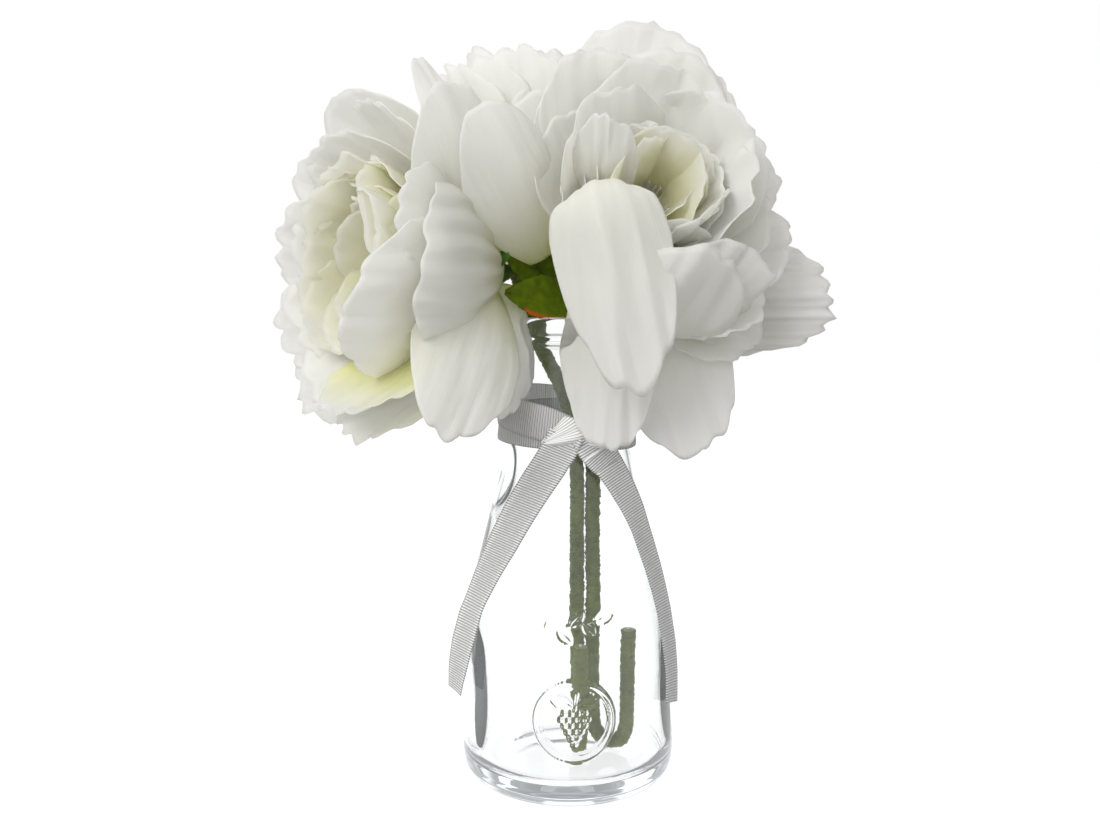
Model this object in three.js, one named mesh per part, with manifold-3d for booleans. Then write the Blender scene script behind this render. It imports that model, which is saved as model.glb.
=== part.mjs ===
// A glass bottle with a tied ribbon, holding four large white peony heads on two wired sprays.
// Millimetres, +Z up. The origin is the middle of the bottle's flat foot, and -Y is the front.

import * as THREE from "three";
import { mergeVertices } from "three/addons/utils/BufferGeometryUtils.js";
import Module from "manifold-3d";

const wasm = await Module();
wasm.setup();

// ---------- driving dimensions ----------

const GAP = 0.35; // clearance between pieces that touch

const BOTTLE = {
  radius: 38,
  footRadius: 29,
  heelHeight: 9,
  wallTop: 42,
  height: 165,
  lipRadius: 20.2,
  neckRadius: 18.8,
  mouthRadius: 16.4,
  wall: 2.6,
  floor: 8,
  segments: 36,
};

const SEAL = { radius: 14, height: 32.6, azimuth: 3.4, proud: 0.9, root: 1.5 };

const RIBBON = { width: 12, thickness: 0.6 };

const STEM = { radius: 2.7, sides: 8 };

// ---------- materials ----------

const material = (color, roughness, options = {}) =>
  new THREE.MeshStandardMaterial({ color, roughness, metalness: 0, ...options });

const GLASS = material(0xe9f0ef, 0.03, { transparent: true, opacity: 0.35 });
const RIBBON_GREY = material(0xbdbdb9, 0.75);
const STEM_GREEN = material(0x5b6340, 0.8);
const LEAF_GREEN = material(0x2f5f14, 0.6);
const PETAL_WHITE = material(0xf1f0e6, 0.8, { side: THREE.DoubleSide });
const HEART_CREAM = material(0xe9e6b4, 0.8, { side: THREE.DoubleSide });

// ---------- helpers ----------

const rad = THREE.MathUtils.degToRad;
const lerp = THREE.MathUtils.lerp;
const smooth = (t) => t * t * (3 - 2 * t);

const group = new THREE.Group();

function addMesh(name, geometry, meshMaterial, parent = group) {
  const mesh = new THREE.Mesh(geometry, meshMaterial);
  mesh.name = name;
  parent.add(mesh);
  return mesh;
}

// A closed geometry as a manifold solid.
function toSolid(geometry) {
  const bare = geometry.clone();
  bare.deleteAttribute("normal");
  bare.deleteAttribute("uv");
  const merged = mergeVertices(bare, 1e-4);
  return new wasm.Manifold(
    new wasm.Mesh({
      numProp: 3,
      vertProperties: new Float32Array(merged.attributes.position.array),
      triVerts: new Uint32Array(merged.index.array),
    })
  );
}

function toGeometry(solid) {
  const mesh = solid.getMesh();
  const geometry = new THREE.BufferGeometry();
  geometry.setAttribute("position", new THREE.BufferAttribute(mesh.vertProperties, 3));
  geometry.setIndex(new THREE.BufferAttribute(mesh.triVerts, 1));
  geometry.computeVertexNormals();
  return geometry;
}

// A closed surface from rings of points: each ring is joined to the next one, the first to the last.
function closedLoft(rings) {
  const count = rings[0].length;
  const positions = rings.flat().flatMap((p) => [p.x, p.y, p.z]);
  const index = [];
  rings.forEach((ring, i) => {
    const next = (i + 1) % rings.length;
    for (let j = 0; j < count; j++) {
      const k = (j + 1) % count;
      const [a, b, c, d] = [i * count + j, i * count + k, next * count + k, next * count + j];
      index.push(a, b, c, a, c, d);
    }
  });
  const geometry = new THREE.BufferGeometry();
  geometry.setAttribute("position", new THREE.Float32BufferAttribute(positions, 3));
  geometry.setIndex(index);
  geometry.computeVertexNormals();
  return geometry;
}

// As closedLoft, but the first and the last ring are flat ends.
function openLoft(rings) {
  const count = rings[0].length;
  const positions = rings.flat().flatMap((p) => [p.x, p.y, p.z]);
  const index = [];
  for (let i = 0; i + 1 < rings.length; i++) {
    for (let j = 0; j < count; j++) {
      const k = (j + 1) % count;
      const [a, b, c, d] = [i * count + j, i * count + k, (i + 1) * count + k, (i + 1) * count + j];
      index.push(a, b, c, a, c, d);
    }
  }
  const last = (rings.length - 1) * count;
  for (let j = 1; j + 1 < count; j++) {
    index.push(0, j + 1, j);
    index.push(last, last + j, last + j + 1);
  }
  const geometry = new THREE.BufferGeometry();
  geometry.setAttribute("position", new THREE.Float32BufferAttribute(positions, 3));
  geometry.setIndex(index);
  geometry.computeVertexNormals();
  return geometry;
}

// A lathe about Z from [radius, height] pairs.
function latheZ(profile, segments) {
  const points = profile.map(([r, z]) => new THREE.Vector2(r, z));
  return new THREE.LatheGeometry(points, segments).rotateX(Math.PI / 2);
}

// ---------- bottle ----------

// The outside of the body above the straight wall, as radius over height.
const SHOULDER = [
  [BOTTLE.radius, BOTTLE.wallTop],
  [37.3, 52],
  [35.6, 64],
  [32.2, 79],
  [28.2, 95],
  [25.4, 107],
  [23.0, 119],
  [20.9, 132],
  [19.4, 143],
  [BOTTLE.neckRadius, 152],
];

// The beaded rim above the neck, up to the mouth.
const RIM = [
  [BOTTLE.neckRadius, 155],
  [19.9, 156.1],
  [19.9, 157.7],
  [19.3, 158.6],
  [BOTTLE.lipRadius, 159.6],
  [BOTTLE.lipRadius, BOTTLE.height - 1.4],
  [BOTTLE.lipRadius - 1.2, BOTTLE.height],
  [BOTTLE.mouthRadius + 1, BOTTLE.height],
  [BOTTLE.mouthRadius, BOTTLE.height - 1],
];

// The rounded inner corner where the wall meets the floor.
const INNER_HEEL = 6;

function bottleRadius(z) {
  const above = SHOULDER.findIndex((point) => point[1] >= z);
  if (above === 0) return BOTTLE.radius;
  if (above < 0) return BOTTLE.neckRadius;
  const [r0, z0] = SHOULDER[above - 1];
  const [r1, z1] = SHOULDER[above];
  return lerp(r0, r1, (z - z0) / (z1 - z0));
}

function arc(centreR, centreZ, radius, from, to, steps) {
  return Array.from({ length: steps + 1 }, (_, i) => {
    const angle = rad(lerp(from, to, i / steps));
    return [centreR + radius * Math.cos(angle), centreZ + radius * Math.sin(angle)];
  });
}

function bottleSolid() {
  const { radius, footRadius, heelHeight, wall, floor, mouthRadius } = BOTTLE;
  const heel = arc(footRadius, heelHeight, radius - footRadius, -90, 0, 4);
  const inside = SHOULDER.map(([r, z]) => [Math.max(r - wall, mouthRadius), z]).reverse();
  const innerHeel = arc(radius - wall - INNER_HEEL, floor + INNER_HEEL, INNER_HEEL, 0, -90, 3);
  const profile = [[0, 0], ...heel, ...SHOULDER, ...RIM, ...inside, ...innerHeel, [0, floor]];
  return toSolid(latheZ(profile, BOTTLE.segments));
}

// The round seal: a disc that follows the wall and stands a little proud of it.
function sealSolid() {
  const top = SEAL.height + 1.25 * SEAL.radius;
  const bottom = SEAL.height - 1.25 * SEAL.radius;
  const inside = BOTTLE.radius - SEAL.root;
  const outside = BOTTLE.radius + SEAL.proud;
  const band = [[inside, bottom], [outside, bottom], [outside, top], [inside, top], [inside, bottom]];
  const shell = toSolid(latheZ(band, BOTTLE.segments));
  const disc = new THREE.CylinderGeometry(SEAL.radius, SEAL.radius, BOTTLE.radius, 24);
  disc.translate(0, -BOTTLE.radius, SEAL.height);
  disc.rotateZ(rad(SEAL.azimuth));
  return toSolid(disc).intersect(shell);
}

addMesh("bottle", toGeometry(bottleSolid().add(sealSolid())), GLASS);

// ---------- ribbon ----------

// A point outside the bottle at an azimuth (0 front, 90 right) and a height, a clearance off the glass.
function onBottle(azimuth, z, clearance) {
  const r = bottleRadius(z) + clearance;
  return new THREE.Vector3(r * Math.sin(rad(azimuth)), -r * Math.cos(rad(azimuth)), z);
}

// The ribbon goes twice round the neck. The lower turn is level and a little slack on the left. The
// upper turn lies over it and climbs from the knot towards the left and the back.
const TURN = { slack: 2.2, stepDegrees: 10 };
const slackAt = (azimuth) => TURN.slack * ((1 - Math.sin(rad(azimuth))) / 2) ** 2;

const LOWER_TURN = { height: 127.7, towardsFront: -1, towardsRight: -0.8, clearance: 0.4 };
const UPPER_TURN = {
  height: 130.5,
  towardsFront: -2.3,
  towardsRight: -3.9,
  clearance: LOWER_TURN.clearance + RIBBON.thickness + GAP,
};

function turnHeight({ height, towardsFront, towardsRight }, azimuth) {
  return height + towardsFront * Math.cos(rad(azimuth)) + towardsRight * Math.sin(rad(azimuth));
}

function neckTurn(turn) {
  const half = RIBBON.width / 2;
  const rings = [];
  for (let azimuth = 0; azimuth < 360; azimuth += TURN.stepDegrees) {
    const z = turnHeight(turn, azimuth);
    const near = turn.clearance + slackAt(azimuth);
    const far = near + RIBBON.thickness;
    rings.push([
      onBottle(azimuth, z - half, near),
      onBottle(azimuth, z + half, near),
      onBottle(azimuth, z + half, far),
      onBottle(azimuth, z - half, far),
    ]);
  }
  return closedLoft(rings);
}

addMesh("ribbon_lower_turn", neckTurn(LOWER_TURN), RIBBON_GREY);
addMesh("ribbon_upper_turn", neckTurn(UPPER_TURN), RIBBON_GREY);

// The knot: a small flattened barrel wrapped across both turns where the tails leave it.
const KNOT = { azimuth: 8, height: 127, width: 13, rise: 11, depth: 5, lean: -12 };

function knot() {
  const geometry = new THREE.SphereGeometry(0.5, 12, 8);
  geometry.scale(KNOT.width, KNOT.depth, KNOT.rise);
  geometry.rotateX(rad(KNOT.lean));
  const overTurns = UPPER_TURN.clearance + slackAt(KNOT.azimuth) + RIBBON.thickness + GAP;
  const face = bottleRadius(KNOT.height) + overTurns;
  geometry.translate(0, -(face + KNOT.depth / 2), KNOT.height);
  return geometry.rotateZ(rad(KNOT.azimuth));
}

addMesh("ribbon_knot", knot(), RIBBON_GREY);

// A tail: the ribbon laid on the bottle from under the knot, along [azimuth, height, clearance]
// stations that its middle passes over. The knot pinches its first stretch.
const TAIL = { steps: 18, pinched: 0.46, pinchShare: 0.14 };

function tail(stations) {
  const curve = new THREE.CatmullRomCurve3(stations.map((station) => new THREE.Vector3(...station)));
  const sections = [];
  for (let i = 0; i <= TAIL.steps; i++) {
    const along = i / TAIL.steps;
    const { x: azimuth, y: height, z: near } = curve.getPoint(along);
    const ahead = curve.getTangent(along);
    const radius = bottleRadius(height);
    const slope = Math.atan2(rad(ahead.x) * radius, -ahead.y);
    const opened = lerp(TAIL.pinched, 1, smooth(Math.min(1, along / TAIL.pinchShare)));
    const half = (RIBBON.width / 2) * opened;
    const across = (side, clearance) => {
      const sideways = THREE.MathUtils.radToDeg((side * half * Math.cos(slope)) / radius);
      return onBottle(azimuth + sideways, height + side * half * Math.sin(slope), clearance);
    };
    const far = near + RIBBON.thickness;
    sections.push([
      across(0, near),
      across(1, near),
      across(1, far),
      across(0, far),
      across(-1, far),
      across(-1, near),
    ]);
  }
  return openLoft(sections);
}

const LEFT_TAIL = [
  [1.6, 120.4, 3.3],
  [-5, 116.4, 2],
  [-13, 112, 1.2],
  [-26, 105, 0.8],
  [-36.7, 97.6, 0.8],
  [-45.1, 89.2, 0.8],
  [-53.2, 80.4, 0.8],
  [-59.4, 71.4, 1.2],
  [-60.5, 62.9, 2.8],
  [-61.6, 54.2, 3.9],
  [-63.6, 45.1, 4.5],
  [-66.5, 35.5, 4.8],
];

const RIGHT_TAIL = [
  [15.4, 120.2, 3.5],
  [23.5, 117, 2.7],
  [32, 112.6, 1.2],
  [45.5, 104.6, 0.8],
  [54.4, 96.6, 0.8],
  [58.8, 88.2, 0.8],
  [62.3, 79.8, 0.8],
  [64.6, 70.9, 0.8],
  [65.2, 62.2, 0.9],
  [65.8, 53.4, 1.1],
  [66.2, 44.5, 1.3],
  [64.5, 31.8, 1.8],
];

addMesh("ribbon_tail_left", tail(LEFT_TAIL), RIBBON_GREY);
addMesh("ribbon_tail_right", tail(RIGHT_TAIL), RIBBON_GREY);

// ---------- flower heads ----------

// A head is threaded onto the pin of its calyx, one die-cut layer after another. Its own frame has
// +Z out of the flower. Clock angles run clockwise for someone who looks into the flower, from the top.

const PIN = { radius: 3, length: 15 };
const CALYX = { radius: 6.5, length: 9, socketRadius: 3.6 };

// One layer is a single sheet of joined petals with a hole for the pin. Each petal is
// [clock angle, angle off the axis at the base, the same at the tip, length].
function petalLayer({ petals, seat, notch = 0.35, thickness = 0.8, steps = 36, spans = 3 }) {
  const hole = PIN.radius + GAP;
  const rings = [];
  for (let i = 0; i < steps; i++) {
    const clock = (360 * i) / steps;
    const here = blendPetals(petals, clock, notch);
    rings.push(layerSection(here, clock, hole, seat, thickness, spans));
  }
  return closedLoft(rings);
}

// Between two petals the sheet turns smoothly from one to the other and is cut back by the notch.
function blendPetals(petals, clock, notch) {
  const count = petals.length;
  for (let i = 0; i < count; i++) {
    const from = petals[i];
    const to = petals[(i + 1) % count];
    const span = (to[0] - from[0] + 360) % 360;
    const past = (clock - from[0] + 360) % 360;
    if (past > span) continue;
    const share = past / span;
    const [base, tip, length] = [1, 2, 3].map((k) => lerp(from[k], to[k], smooth(share)));
    const cut = notch * Math.sin(Math.PI * share) ** 6;
    return { base: rad(base), tip: rad(tip), length: length * (1 - cut) };
  }
  return null;
}

// The sheet's section at one clock angle: out along one face and back along the other.
function layerSection({ base, tip, length }, clock, hole, seat, thickness, spans) {
  const half = length / 2;
  const direction = [Math.sin(rad(clock)), Math.cos(rad(clock))];
  const near = [];
  const far = [];
  for (let j = 0; j <= spans; j++) {
    const t = j / spans;
    const first = half * (2 * t - t * t);
    const second = half * t * t;
    const rho = hole + first * Math.sin(base) + second * Math.sin(tip);
    const zeta = seat + first * Math.cos(base) + second * Math.cos(tip);
    const angle = Math.atan2(
      (1 - t) * Math.sin(base) + t * Math.sin(tip),
      (1 - t) * Math.cos(base) + t * Math.cos(tip)
    );
    const [nr, nz] = [(-Math.cos(angle) * thickness) / 2, (Math.sin(angle) * thickness) / 2];
    const place = (r, z) => new THREE.Vector3(r * direction[0], r * direction[1], z);
    near.push(place(Math.max(rho + nr, hole), zeta + nz));
    far.push(place(Math.max(rho - nr, hole), zeta - nz));
  }
  return [...far, ...near.reverse()];
}

// The calyx: a green cup under the petals, with the pin that carries them.
function calyx() {
  const { radius, length, socketRadius } = CALYX;
  const profile = [
    [0, -length],
    [socketRadius, -length],
    [socketRadius, -length + 3],
    [radius, -2.6],
    [radius, -1.6],
    [PIN.radius, -1],
    [PIN.radius, PIN.length - 1],
    [PIN.radius - 1, PIN.length],
    [0, PIN.length],
  ];
  return latheZ(profile, 12);
}

// A regular layer of equal petals.
function ring(count, first, base, tip, length) {
  return Array.from({ length: count }, (_, i) => [first + (360 * i) / count, base, tip, length]);
}

const sepals = (first, base, tip) => ({
  seat: 0.3,
  notch: 0.75,
  steps: 30,
  spans: 2,
  petals: ring(5, first, base, tip, 15),
  color: LEAF_GREEN,
});

const heart = (first, length) => ({
  seat: 12,
  steps: 20,
  spans: 2,
  petals: ring(4, first, 22, -14, length),
  color: HEART_CREAM,
});

const HEADS = {
  left: {
    base: [-30, -8, 181],
    axis: [-0.8, -0.58, 0.06],
    layers: {
      sepals: sepals(0, 100, 95),
      guard_petals: {
        seat: 2.2,
        petals: [
          [12, 72, 58, 75],
          [86, 58, 18, 72],
          [150, 92, 88, 62],
          [205, 88, 56, 78],
          [268, 85, 30, 84],
          [325, 85, 38, 82],
        ],
      },
      outer_petals: {
        seat: 5,
        petals: [
          [-12, 58, 22, 74],
          [52, 44, 4, 66],
          [118, 48, 14, 62],
          [178, 62, 26, 70],
          [238, 64, 12, 74],
          [298, 64, 14, 76],
        ],
      },
      ruffle_petals: { seat: 7.5, steps: 25, petals: ring(5, 30, 40, 0, 60) },
      inner_petals: { seat: 10, steps: 25, petals: ring(5, 0, 31, -8, 50), color: HEART_CREAM },
      heart: heart(20, 38),
    },
  },
  right: {
    base: [17, -3, 190],
    axis: [0.3, -0.85, 0.43],
    layers: {
      sepals: sepals(0, 105, 110),
      guard_petals: {
        seat: 2.2,
        petals: [
          [8, 84, 66, 80],
          [55, 78, 60, 74],
          [98, 66, 66, 62],
          [130, 72, 80, 66],
          [163, 88, 96, 80],
          [198, 88, 98, 80],
          [262, 66, 14, 56],
          [318, 72, 34, 66],
        ],
      },
      outer_petals: {
        seat: 5,
        petals: [
          [30, 62, 36, 72],
          [80, 56, 46, 60],
          [132, 58, 60, 60],
          [190, 40, 108, 92],
          [250, 44, 2, 56],
          [320, 54, 20, 62],
        ],
      },
      ruffle_petals: { seat: 7.5, steps: 25, petals: ring(5, 10, 38, 4, 58) },
      inner_petals: { seat: 10, steps: 25, petals: ring(5, 40, 29, -6, 48), color: HEART_CREAM },
      heart: heart(20, 36),
    },
  },
  top: {
    base: [-8, 17, 190],
    axis: [-0.15, 0.45, 0.88],
    layers: {
      sepals: sepals(30, 100, 105),
      guard_petals: {
        seat: 2.2,
        petals: [
          [2, 62, 42, 58],
          [44, 66, 50, 62],
          [105, 46, 24, 66],
          [160, 76, 66, 74],
          [215, 78, 66, 74],
          [275, 64, 40, 68],
          [325, 56, 24, 60],
        ],
      },
      outer_petals: { seat: 5, steps: 30, petals: ring(6, 25, 44, 16, 72) },
      ruffle_petals: { seat: 7.5, steps: 25, petals: ring(5, 0, 34, 4, 72) },
      inner_petals: { seat: 10, steps: 25, petals: ring(5, 30, 27, -6, 56), color: HEART_CREAM },
      heart: heart(20, 40),
    },
  },
  rear: {
    base: [29, 20, 173],
    axis: [0.85, 0.5, 0.12],
    layers: {
      sepals: sepals(0, 95, 90),
      guard_petals: {
        seat: 2.2,
        petals: [
          [0, 52, 18, 66],
          [60, 70, 50, 66],
          [120, 70, 50, 66],
          [180, 56, 18, 66],
          [235, 54, 20, 70],
          [282, 50, 14, 72],
        ],
      },
      outer_petals: { seat: 5, steps: 30, petals: ring(6, 30, 38, 4, 64) },
      ruffle_petals: { seat: 7.5, steps: 25, petals: ring(5, 0, 31, -2, 56) },
      inner_petals: { seat: 10, steps: 25, petals: ring(5, 30, 25, -8, 46), color: HEART_CREAM },
      heart: heart(20, 34),
    },
  },
};

// The head's place and aim: +Z along its axis and +Y as near to upright as that allows.
function headBasis({ axis }) {
  const out = new THREE.Vector3(...axis).normalize();
  const right = new THREE.Vector3(0, 0, 1).cross(out).normalize();
  const top = out.clone().cross(right);
  return new THREE.Matrix4().makeBasis(right, top, out);
}

for (const [name, head] of Object.entries(HEADS)) {
  const frame = new THREE.Group();
  frame.quaternion.setFromRotationMatrix(headBasis(head));
  frame.position.set(...head.base);
  group.add(frame);
  addMesh(`${name}_calyx`, calyx(), LEAF_GREEN, frame);
  for (const [layer, shape] of Object.entries(head.layers)) {
    addMesh(`${name}_${layer}`, petalLayer(shape), shape.color ?? PETAL_WHITE, frame);
  }
}

// ---------- sprays ----------

// A point on a head's axis, below its base.
function under(head, distance) {
  const out = new THREE.Vector3(...head.axis).normalize();
  return new THREE.Vector3(...head.base).addScaledVector(out, -distance);
}

const SEAT = CALYX.length + GAP;

// A stem's last two points: straight along the head's axis into its socket.
const aimed = (head) => [under(head, SEAT + 5), under(head, SEAT)];

function stemTube(points, steps) {
  const curve = new THREE.CatmullRomCurve3(points, false, "centripetal");
  const section = new THREE.Shape().absarc(0, 0, STEM.radius, 0, 2 * Math.PI);
  return new THREE.ExtrudeGeometry(section, {
    steps,
    extrudePath: curve,
    curveSegments: STEM.sides / 2,
    bevelEnabled: false,
  });
}

const v = (x, y, z) => new THREE.Vector3(x, y, z);

// Each spray is one stem whose lower end is bent back up in the bottle, and a side branch that
// leaves it just above the mouth. Both end in the socket under a calyx.
const SPRAYS = {
  left: {
    stem: [
      v(4.4, -12.4, 50),
      v(4.4, -12.6, 24),
      v(4.2, -10.5, 14.4),
      v(3.9, -6.0, 11.6),
      v(3.5, -1.4, 14.6),
      v(3.3, 0.2, 26),
      v(3.3, 0.4, 70),
      v(3.0, 0.4, 112),
      v(-0.6, 0.6, 135),
      v(-9.4, 1.0, 154),
      v(-14.6, 1.6, 168),
      ...aimed(HEADS.left),
    ],
    branch: [v(-11.2, 1.2, 158), v(-9.2, 6, 168), ...aimed(HEADS.top)],
  },
  right: {
    stem: [
      v(21.6, -5, 54),
      v(21.4, -4.6, 28),
      v(20.2, -3.4, 15),
      v(15.2, -1.4, 11.6),
      v(10.2, 0.2, 15),
      v(9.0, 0.8, 26),
      v(9.0, 1.2, 70),
      v(8.8, 1.4, 112),
      v(6.6, 4.2, 137),
      v(3.4, 6.6, 157),
      v(6.2, 7.6, 172),
      ...aimed(HEADS.right),
    ],
    branch: [v(3.4, 6.8, 160), v(10, 11.5, 167), ...aimed(HEADS.rear)],
  },
};

for (const [name, spray] of Object.entries(SPRAYS)) {
  const stem = toSolid(stemTube(spray.stem, 38));
  const branch = toSolid(stemTube(spray.branch, 8));
  addMesh(`${name}_spray`, toGeometry(stem.add(branch)), STEM_GREEN);
}

// ---------- leaves ----------

// A leaf folded along its midrib, from its stalk on a stem to its tip. Its face points along `face`.
const LEAF = { fold: 0.25, thickness: 0.5, stalk: 0.7, steps: 10 };

function leaf({ from, middle, to, face, width }) {
  const curve = new THREE.QuadraticBezierCurve3(v(...from), v(...middle), v(...to));
  const up = v(...face).normalize();
  const half = LEAF.thickness / 2;
  const sections = [];
  for (let i = 0; i <= LEAF.steps; i++) {
    const t = i / LEAF.steps;
    const centre = curve.getPoint(t);
    const side = curve.getTangent(t).cross(up).normalize();
    const wide = LEAF.stalk + (width / 2) * Math.sin(Math.PI * Math.min(1, 0.12 + t * 0.86)) ** 1.2;
    const at = (across, lift) => {
      const raised = Math.abs(across) * wide * LEAF.fold + lift;
      return centre.clone().addScaledVector(side, across * wide).addScaledVector(up, raised);
    };
    sections.push([at(-1, half), at(0, half), at(1, half), at(1, -half), at(0, -half), at(-1, -half)]);
  }
  return openLoft(sections);
}

const LEAVES = {
  lower: {
    from: [4.8, 4.15, 168.4],
    middle: [-4, -12, 170],
    to: [-21.5, -15, 173.5],
    face: [0, -0.8, 0.6],
    width: 12,
  },
  upper: {
    from: [-5, 6.2, 174],
    middle: [-6, -4, 180],
    to: [-20, -9.5, 188],
    face: [0.3, -0.8, 0.5],
    width: 11,
  },
  rear: {
    from: [-9.66, 10.4, 171.6],
    middle: [-15, 25, 172],
    to: [-26, 34, 166],
    face: [-0.3, 0.4, 0.86],
    width: 13,
  },
};

for (const [name, shape] of Object.entries(LEAVES)) {
  addMesh(`leaf_${name}`, leaf(shape), LEAF_GREEN);
}

export default group;
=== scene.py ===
# %% [markdown]
# # Four white cloth peonies in a glass bottle
#
# The real thing is bought in three parts: a pressed glass bottle, a length of ribbed ribbon, and two
# sprays of artificial peonies, each a covered wire with a flower head on its top and one on a side
# branch. The frame holds plain solids of all of them at their true size. Every piece below takes the
# place of one of those solids and keeps to its position, and adds the fine shape and the finish.

# %% Load the frame
import math

import bpy
import numpy as np
from mathutils import Matrix, Vector


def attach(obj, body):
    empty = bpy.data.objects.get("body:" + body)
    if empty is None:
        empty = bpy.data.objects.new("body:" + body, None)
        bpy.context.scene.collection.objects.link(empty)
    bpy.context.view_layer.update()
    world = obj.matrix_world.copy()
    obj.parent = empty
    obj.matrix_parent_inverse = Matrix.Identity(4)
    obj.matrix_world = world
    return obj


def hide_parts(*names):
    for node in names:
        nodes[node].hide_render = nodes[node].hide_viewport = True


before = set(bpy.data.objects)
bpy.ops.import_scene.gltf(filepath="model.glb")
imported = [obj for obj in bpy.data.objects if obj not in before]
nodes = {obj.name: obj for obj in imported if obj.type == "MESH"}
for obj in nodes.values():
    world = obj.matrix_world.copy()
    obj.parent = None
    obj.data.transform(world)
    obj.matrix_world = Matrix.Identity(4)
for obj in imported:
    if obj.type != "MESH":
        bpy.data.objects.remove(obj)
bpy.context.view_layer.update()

MM = 0.001
scene = bpy.context.scene

# %% [markdown]
# ## Camera, floor and light
#
# The bottle is seen from the front and a little from above, from close by, so the flowers nearest the
# lens look large. The view transform is the plain one, which leaves whites white.

# %% Camera
def add_object(name, data):
    """A new object in the scene, at the origin."""
    thing = bpy.data.objects.new(name, data)
    scene.collection.objects.link(thing)
    return thing


camera = add_object("camera", bpy.data.cameras.new("camera"))
camera.data.sensor_width = 36
camera.data.lens = 35.18
camera.location = (0, -0.381, 0.1674)
camera.rotation_euler = (math.radians(90 - 5.39), 0, math.radians(0.975))
scene.camera = camera
scene.view_settings.view_transform = "Standard"
print(f"camera: {camera.data.lens:.1f} mm lens, {-camera.location.y / MM:.0f} mm in front of the bottle")

# %% [markdown]
# The finishes, the studio light and many of the shapes are built from nodes, and all of them need sums.
# A small class lets these be written as plain arithmetic: each sum or product adds the maths node for it.

# %% Node helpers
def fill(tree, node, values):
    """Fills a node's inputs, each with a socket, a Field or a plain value."""
    for name, value in values.items():
        if isinstance(value, Field):
            value = value.out
        if isinstance(value, bpy.types.NodeSocket):
            tree.links.new(value, node.inputs[name])
        else:
            node.inputs[name].default_value = value


def new_node(tree, kind, inputs=None, **settings):
    """Adds a node, sets its options and fills its inputs."""
    node = tree.nodes.new(kind)
    for name, value in settings.items():
        setattr(node, name, value)
    fill(tree, node, inputs or {})
    return node


# %% Sums in a tree
class Field:
    """A number inside a node tree. Sums, products and the like on it add the maths nodes."""

    def __init__(self, tree, out):
        self.tree = tree
        self.out = out

    def do(self, operation, *others):
        """A maths node on this number and the others."""
        node = new_node(self.tree, "ShaderNodeMath", operation=operation)
        fill(self.tree, node, dict(enumerate((self, *others))))
        return Field(self.tree, node.outputs[0])

    def __add__(self, other):
        return self.do("ADD", other)

    def __sub__(self, other):
        return self.do("SUBTRACT", other)

    def __rsub__(self, other):
        return self * -1.0 + other

    def __mul__(self, other):
        return self.do("MULTIPLY", other)

    def __truediv__(self, other):
        return self.do("DIVIDE", other)

    def __pow__(self, other):
        return self.do("POWER", other)

    def __neg__(self):
        return self.do("MULTIPLY", -1)

    __radd__ = __add__
    __rmul__ = __mul__

    def sin(self):
        return self.do("SINE")

    def cos(self):
        return self.do("COSINE")

    def abs(self):
        return self.do("ABSOLUTE")

    def ramp(self, low, high):
        """0 below low and 1 above high, with a smooth step between."""
        node = new_node(self.tree, "ShaderNodeMapRange", interpolation_type="SMOOTHSTEP")
        fill(self.tree, node, {"Value": self, "From Min": low, "From Max": high})
        return Field(self.tree, node.outputs[0])


# %% Vectors and noise
def join(tree, x, y, z):
    """Three numbers as one vector."""
    return new_node(tree, "ShaderNodeCombineXYZ", {"X": x, "Y": y, "Z": z}).outputs[0]


def split(tree, vector):
    """A vector's three numbers."""
    node = new_node(tree, "ShaderNodeSeparateXYZ", {"Vector": vector})
    return [Field(tree, socket) for socket in node.outputs]


def noise(tree, vector, scale=1.0, detail=1.0):
    """Smooth random values from about -0.5 to 0.5."""
    node = new_node(tree, "ShaderNodeTexNoise", {"Vector": vector, "Scale": scale, "Detail": detail})
    return Field(tree, node.outputs[0]) - 0.5


# %% Material helpers
def new_material(name):
    """A new material, its tree and its shader."""
    material = bpy.data.materials.new(name)
    material.use_nodes = True
    return material, material.node_tree, material.node_tree.nodes["Principled BSDF"]


def mixed(tree, share, first, second):
    """Two shaders as one, with a share of the second."""
    inputs = {"Fac": share, 1: first.outputs[0], 2: second.outputs[0]}
    return new_node(tree, "ShaderNodeMixShader", inputs).outputs[0]


# %% [markdown]
# The light is a bright soft studio. Most of it comes from the upper front and from the left, so the
# petals shade gently towards the right. A world that is brighter in some directions does this without
# any card that could block a view.
#
# Clear glass only shows by what it bends and mirrors, and a white studio alone would hide it. So narrow
# dark cards stand behind it on both sides, and the glass bends them into the dark lines that draw its
# edges. Cloth doesn't need them, so they are painted into the world for rays off clear glass only.

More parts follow.
